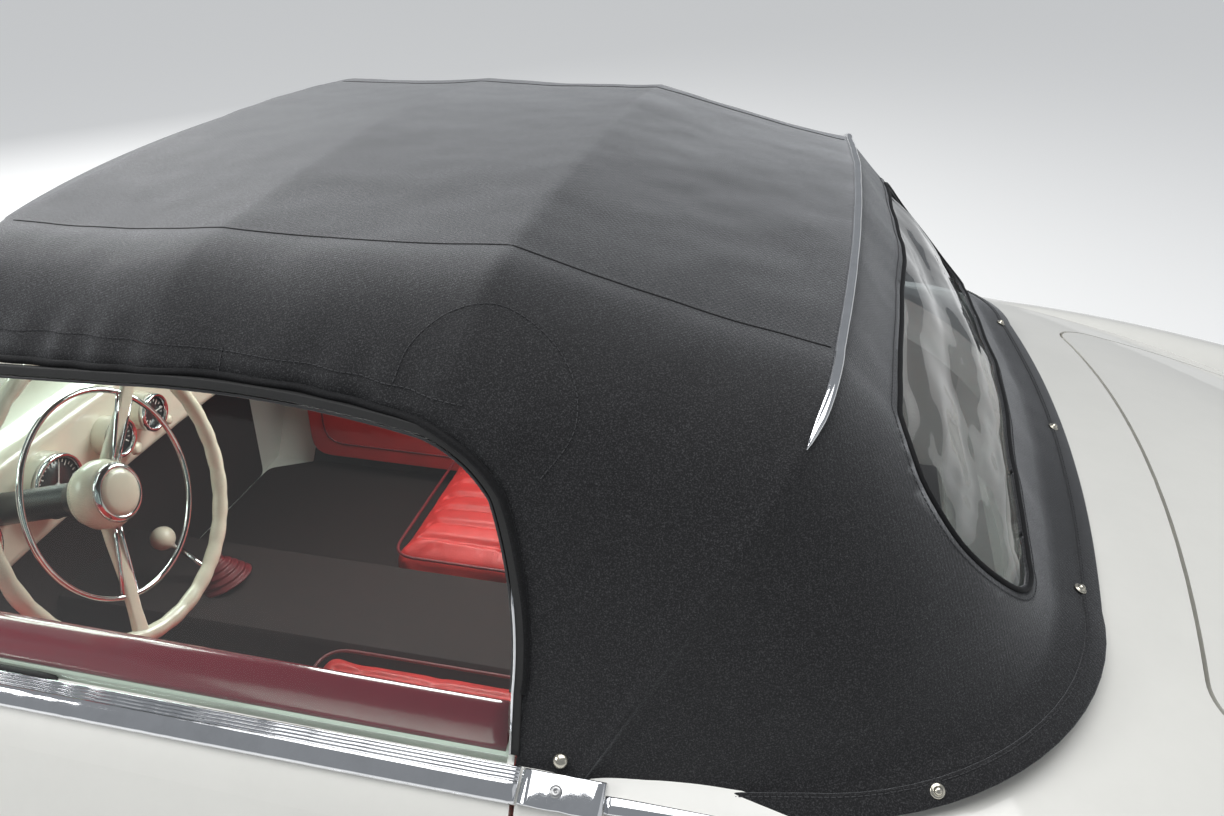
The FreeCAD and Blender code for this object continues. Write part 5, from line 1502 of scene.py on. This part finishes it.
def pad(name, size, crown, radius, face):
    """A padded block round the origin, crowned on the side that is sat on: face is its axis, 0 or 2."""
    counts = [max(6, int(round(s / 0.0085))) for s in size]
    half = np.array(size) / 2
    verts, faces, index = [], [], {}

    def vertex(key):
        if key not in index:
            index[key] = len(verts)
            verts.append([2 * half[a] * key[a] / counts[a] - half[a] for a in range(3)])
        return index[key]

    for axis in range(3):
        u, v = [a for a in range(3) if a != axis]
        for end in (0, counts[axis]):
            for i in range(counts[u]):
                for j in range(counts[v]):
                    corners = []
                    for di, dj in ((0, 0), (1, 0), (1, 1), (0, 1)):
                        key = [0, 0, 0]
                        key[axis], key[u], key[v] = end, i + di, j + dj
                        corners.append(vertex(tuple(key)))
                    faces.append(corners if end else corners[::-1])
    p = np.array(verts)
    core = np.clip(p, -(half - radius), half - radius)
    away = p - core
    length = np.linalg.norm(away, axis=1)
    sure = length > 1e-9
    p[sure] = core[sure] + away[sure] / length[sure, None] * radius
    t = p / half
    sides = [a for a in range(3) if a != face]
    bulge = np.ones(len(p))
    for a in sides:
        bulge *= 1 - np.clip(np.abs(t[:, a]), 0, 1) ** 2.4
    top = np.clip(t[:, face], 0, 1)
    p[:, face] += crown * bulge * top ** 2
    for a in sides:
        other = [s for s in sides if s != a][0]
        pull = (1 - np.abs(t[:, face]) ** 2) * (1 - np.clip(np.abs(t[:, other]), 0, 1) ** 2)
        p[:, a] -= np.sign(p[:, a]) * 0.006 * pull * (np.abs(t[:, a]) > 0.9)
    return mended(add_object(name, p, faces))


def inflated(obj, voxel=0.0075, cap=0.012):
    """The pad swelled by Cloth under pressure, no point further than cap from where it began."""
    shell = obj.modifiers.new("voxels", "REMESH")
    shell.mode, shell.voxel_size = "VOXEL", voxel
    applied(obj)
    before = points_of(obj)
    cloth = obj.modifiers.new("pressure", "CLOTH")
    cloth.settings.use_pressure = True
    cloth.settings.uniform_pressure_force = 4.0
    cloth.settings.effector_weights.gravity = 0.0
    for step in range(1, 21):
        bpy.context.scene.frame_set(step)
    applied(obj)
    bpy.context.scene.frame_set(1)
    moved = points_of(obj) - before
    length = np.maximum(np.linalg.norm(moved, axis=1), 1e-9)[:, None]
    after = before + moved / length * np.minimum(length, cap)
    obj.data.vertices.foreach_set("co", after.ravel())
    obj.data.update()
    finer = obj.modifiers.new("finer", "SUBSURF")
    finer.levels = 1
    return applied(obj)


def points_of(obj):
    """An object's points as an array."""
    p = np.empty(len(obj.data.vertices) * 3)
    obj.data.vertices.foreach_get("co", p)
    return p.reshape(-1, 3)


def sewn(obj, size, face):
    """Draws the crowned side in along the sewn channels, which are places along Y."""
    p, half = points_of(obj), np.array(size) / 2
    inner = np.ones(len(p))
    for a in (1, 2 - face):
        inner *= np.clip((half[a] - 0.052 - np.abs(p[:, a])) / 0.010, 0, 1)
    near = np.min(np.abs(p[:, 1][:, None] - np.array(CHANNELS)[None, :]), axis=1)
    groove = np.exp(-(near / 0.0062) ** 2) * inner * np.clip(p[:, face] / half[face], 0, 1) ** 4
    p[:, face] -= 0.0085 * groove
    obj.data.vertices.foreach_set("co", p.ravel())
    obj.data.polygons.foreach_set("use_smooth", [True] * len(obj.data.polygons))
    obj.data.update()
    return obj


def back_lean():
    """The place and lean of a seat back's foot."""
    foot = Matrix.Translation((SEAT_REAR - 0.003, 0, BACK_FOOT))
    return foot @ Matrix.Rotation(-SEAT_LEAN, 4, "Y")


class CONVERTIBLE_OT_seats(bpy.types.Operator):
    """Padded seats with sewn channels and piping"""

    bl_idname = "convertible.seats"
    bl_label = "Seats"

    def execute(self, context):
        size = SEAT_SIZES["seat_cushion"]
        cushion = self.upholstered("seat_cushion", 0.012, 0.036, 2)
        middle = (SEAT_REAR + size[0] / 2, 0, SEAT_FOOT + size[2] / 2 - 0.003)
        cushion.data.transform(Matrix.Translation(middle))
        size = SEAT_SIZES["seat_back"]
        back = self.upholstered("seat_back", 0.010, 0.040, 0)
        back.data.transform(back_lean() @ Matrix.Translation((-size[0] / 2, 0, size[2] / 2)))
        for stem, pattern in (("seat_cushion", cushion), ("seat_back", back)):
            for sign in (1, -1):
                mesh = pattern.data.copy()
                mesh.transform(Matrix.Translation((0, sign * WHEEL_AT.y, 0)))
                name = sided(stem, sign)
                seat = placed(f"{name}_padded", mesh)
                dress(seat, LOOKS["red_leather"], replaces=(name,))
            bpy.data.objects.remove(pattern)
        self.piping()
        return {"FINISHED"}

    def upholstered(self, stem, crown, radius, face):
        size = SEAT_SIZES[stem]
        slack = 0.022
        start = [length - slack for length in size]
        return sewn(inflated(pad(stem + "_pad", start, crown, radius, face)), size, face)

    def piping(self):
        cushion, back = SEAT_SIZES["seat_cushion"], SEAT_SIZES["seat_back"]
        half_x, half_y = cushion[0] / 2 - 0.020, cushion[1] / 2 - 0.016
        wide = panel(-half_x, -half_y, half_x, half_y, 0.05, 8)
        tall = panel(0.03, -half_y, back[2] - 0.016, half_y, 0.05, 8)
        wide, tall = (resample(outline + outline[:1], 0.012)[:-1] for outline in (wide, tall))
        lines = []
        for sign in (1, -1):
            y0, top = sign * WHEEL_AT.y, SEAT_FOOT + cushion[2] - 0.016
            level = [Vector((SEAT_REAR + cushion[0] / 2 + a, y0 + b, top)) for a, b in wide]
            upright = [back_lean() @ Vector((-0.012, b, a)) + Vector((0, y0, 0)) for a, b in tall]
            lines += [sweep("line", path, ring(0.0030, 8), closed=True) for path in (level, upright)]
        dress(joined("seat_piping", lines), LOOKS["dark_leather"])


AXLES = {"front": 1.351, "rear": -1.049}
WHEEL_Y, WHEEL_Z = 0.72, 0.32
CAP = (
    (0.0375, 0.092), (0.0410, 0.0925), (0.0440, 0.0905), (0.0520, 0.084), (0.0600, 0.070), (0.0655, 0.050),
    (0.0680, 0.036), (0.0672, 0.031), (0.0700, 0.028), (0.0715, 0.016), (0.0718, 0.0005),
)
TRIM = (
    (0.0345, 0.150), (0.0400, 0.151), (0.0560, 0.164), (0.0675, 0.177),
    (0.0665, 0.1795), (0.0640, 0.1785), (0.0540, 0.1665), (0.0370, 0.1545),
)


class CONVERTIBLE_OT_wheels(bpy.types.Operator):
    """Tyres with their tread, painted discs, trim rings and hub caps"""

    bl_idname = "convertible.wheels"
    bl_label = "Wheels"

    def execute(self, context):
        for end, x in AXLES.items():
            for sign in (1, -1):
                name = sided(end, sign)
                at, axis = Vector((x, sign * WHEEL_Y, WHEEL_Z)), Vector((0, sign, 0))
                carried(LOOKS["cream_paint"], f"rim_{name}")
                tyre = turned_ring(f"tyre_{name}_tread", self.section(), at, axis, 96)
                dress(tyre, LOOKS["tyre_rubber"], f"wheel_{name}", replaces=(f"tyre_{name}",))
                metal = [lathe("cap", CAP, at, axis, 64), turned_ring("chrome", TRIM, at, axis, 72)]
                dress(joined(f"hub_cap_{name}", metal), LOOKS["chrome"], f"wheel_{name}")
        return {"FINISHED"}

    def section(self):
        """Tyre section: bead, round shoulder, ribbed tread and side rings."""
        right = [(0.0590, 0.1663), (0.0590, 0.181)]
        right += arc_points((0.0590, 0.181), (0.0805, 0.232), (0.0700, 0.298), 12)[1:]
        right += [(0.0660, 0.3065), (0.0600, 0.3150), (0.0545, 0.3180)]
        for edge in (0.050, 0.030, 0.010):
            right += [(edge, 0.3192), (edge - 0.0005, 0.3125)]
            right += [(edge - 0.0045, 0.3125), (edge - 0.005, 0.3196)]
        return right + [(-a, r) for a, r in reversed(right)]


AHEAD, BACK = Vector((1, 0, 0)), Vector((-1, 0, 0))
LAMP_AT, TAIL_AT = Vector((1.952, 0.612, 0.640)), Vector((-1.996, 0.612, 0.640))
BEZEL = (
    (0.0, 0.104), (0.022, 0.104), (0.033, 0.1005), (0.0405, 0.095),
    (0.0415, 0.089), (0.037, 0.0865), (0.0, 0.0865),
)
BOWL = (
    (0.002, 0.0005), (0.003, 0.03), (0.010, 0.06), (0.026, 0.0855),
    (0.034, 0.0868), (0.034, 0.0880), (0.0, 0.088), (0.0, 0.0005),
)
LENS = [(0.034, 0.0005), (0.034, 0.0875)] + dome(0.0875, 0.021, 12, 0.036)
TAIL_BEZEL = ((0.0, 0.060), (0.020, 0.060), (0.026, 0.056), (0.026, 0.050), (0.0, 0.050))
TAIL_LENS = [(0.001, 0.0005), (0.001, 0.0505)] + dome(0.0505, 0.026, 10, 0.022)


class CONVERTIBLE_OT_lamps(bpy.types.Operator):
    """Headlamps and tail lamps"""

    bl_idname = "convertible.lamps"
    bl_label = "Lamps"

    def execute(self, context):
        pieces = (
            ("headlamp_bezel", turned_ring, BEZEL, LAMP_AT, AHEAD, 64, "chrome", "chrome"),
            ("headlamp_bowl", lathe, BOWL, LAMP_AT, AHEAD, 64, "chrome", "chrome"),
            ("headlamp_lens", lathe, LENS, LAMP_AT, AHEAD, 64, "lamp", "lamp_glass"),
            ("tail_lamp_bezel", turned_ring, TAIL_BEZEL, TAIL_AT, BACK, 48, "chrome", "chrome"),
            ("tail_lamp_lens", lathe, TAIL_LENS, TAIL_AT, BACK, 48, "red_lamp", "red_lens"),
        )
        for name, maker, outline, at, axis, segments, slot, look in pieces:
            pair = both_sides(lambda: maker(name, outline, at, axis, segments), LOOKS[look])
            if name.endswith("_bezel"):
                for obj, sign in zip(pair, (1, -1)):
                    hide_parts(sided(name.removesuffix("_bezel"), sign))
        return {"FINISHED"}


# Grips: place along the piece and how far the bar stands out there
DOOR_GRIP = (
    (-0.405, 0.0), (-0.398, 0.016), (-0.385, 0.026), (-0.34, 0.030),
    (-0.29, 0.028), (-0.255, 0.014), (-0.250, 0.0),
)
BOOT_GRIP = (
    (-0.075, 0.0), (-0.068, 0.014), (-0.045, 0.022), (0.0, 0.024),
    (0.045, 0.022), (0.068, 0.014), (0.075, 0.0),
)
BUTTON = ((-0.002, 0.0005), (-0.002, 0.015), (0.004, 0.015), (0.007, 0.012), (0.012, 0.010), (0.013, 0.0005))
PIVOT = ((-0.004, 0.016), (0.004, 0.015), (0.012, 0.010), (0.018, 0.008), (0.0185, 0.0005))
BLADE = ((-0.003, -0.006), (0.003, -0.006), (0.0035, 0.003), (0.0, 0.006), (-0.0035, 0.003))
# A wiper blade's points: side step from its pivot, and height on the windscreen
WIPE = ((0.0, 0.955), (-0.10, 0.965), (-0.20, 0.978), (-0.29, 0.992))
DOOR_GRIP_Z, BOOT_GRIP_X = 0.742, -1.895


class CONVERTIBLE_OT_fittings(bpy.types.Operator):
    """Door handles, boot handle, wipers and radiator core"""

    bl_idname = "convertible.fittings"
    bl_label = "Outer fittings"

    def execute(self, context):
        both_sides(self.door_handle, LOOKS["chrome"], "door")
        lid = tree_of(NODES["boot_lid"])
        path = [raised(from_above(lid, BOOT_GRIP_X, y), out) for y, out in BOOT_GRIP]
        grip = sweep("boot_handle", smooth_path(path, 0.006), ring(0.0075, 12, 0.7))
        dress(grip, LOOKS["chrome"], "boot_lid")
        self.wipers()
        fins = [-0.325 + 0.65 * k / 45 for k in range(46)]
        bars = [self.fin(y) for y in fins]
        dress(joined("radiator_core", bars + [flat("core")]), LOOKS["black_paint"])
        return {"FINISHED"}

    def fin(self, y, half=0.0012, foot=0.428, top=0.592):
        """One upright fin of the radiator."""
        corners = [(y - half, foot), (y - half, top), (y + half, top), (y + half, foot)]
        return flat("fin", corners, 0, 1.925, 1, 0.012)

    def door_handle(self):
        door = tree_of(NODES["door_left"])
        path = [raised(from_side(door, x, DOOR_GRIP_Z), out) for x, out in DOOR_GRIP]
        bar = sweep("bar", smooth_path(path, 0.006), ring(0.0085, 12, 0.6))
        point, normal = from_side(door, -0.402, DOOR_GRIP_Z)
        return joined("door_handle", [bar, lathe("button", BUTTON, point, normal, 24)])

    def wipers(self):
        screen, cowl = tree_of(NODES["windscreen_glass"]), tree_of(NODES["body_front"])
        arms, blades = [], []
        for y in (0.36, -0.20):
            foot = from_above(cowl, 0.700, y)[0]
            arms.append(lathe("pivot", PIVOT, foot, (0.2, 0, 1), 24))
            tips = [hit_on(screen, (1.2, y + dy, z), (-1, 0, 0))[0] for dy, z in WIPE]
            tips = [tip + Vector((0.009, 0, 0.004)) for tip in tips]
            middle = (tips[1] + tips[2]) / 2 + Vector((0.010, 0, 0.006))
            elbow = foot * 0.5 + middle * 0.5 + Vector((0.012, 0, 0.012))
            arms.append(sweep("arm", [foot + Vector((0, 0, 0.015)), elbow, middle], ring(0.0035, 8)))
            blades.append(sweep("blade", smooth_path(tips, 0.01), BLADE))
        dress(joined("wiper_arms", arms), LOOKS["chrome"])
        dress(joined("wiper_blades", blades), LOOKS["rubber"])


PIECES = (
    CONVERTIBLE_OT_stage,
    CONVERTIBLE_OT_bodywork,
    CONVERTIBLE_OT_cloth,
    CONVERTIBLE_OT_bow_strip,
    CONVERTIBLE_OT_rear_pane,
    CONVERTIBLE_OT_mouldings,
    CONVERTIBLE_OT_steering,
    CONVERTIBLE_OT_dials,
    CONVERTIBLE_OT_cabin,
    CONVERTIBLE_OT_seats,
    CONVERTIBLE_OT_wheels,
    CONVERTIBLE_OT_lamps,
    CONVERTIBLE_OT_fittings,
)


class CONVERTIBLE_PT_panel(bpy.types.Panel):
    bl_label = "Convertible car"
    bl_idname = "CONVERTIBLE_PT_panel"
    bl_space_type = "VIEW_3D"
    bl_region_type = "UI"
    bl_category = "Convertible"

    def draw(self, context):
        for group in (context.scene.convertible, context.scene.convertible_stage):
            for name in group.bl_rna.properties.keys():
                if name not in ("rna_type", "name"):
                    self.layout.prop(group, name)
        for piece in PIECES:
            self.layout.operator(piece.bl_idname)


CLASSES = (CarSettings, StageSettings, *PIECES, CONVERTIBLE_PT_panel)


def register():
    for cls in CLASSES:
        bpy.utils.register_class(cls)
    bpy.types.Scene.convertible = bpy.props.PointerProperty(type=CarSettings)
    bpy.types.Scene.convertible_stage = bpy.props.PointerProperty(type=StageSettings)


def unregister():
    del bpy.types.Scene.convertible
    del bpy.types.Scene.convertible_stage
    for cls in reversed(CLASSES):
        bpy.utils.unregister_class(cls)


def main():
    register()
    LOOKS.update(make_looks(bpy.context.scene.convertible))
    for piece in PIECES:
        group, name = piece.bl_idname.split(".")
        getattr(getattr(bpy.ops, group), name)()


if __name__ == "__main__":
    main()
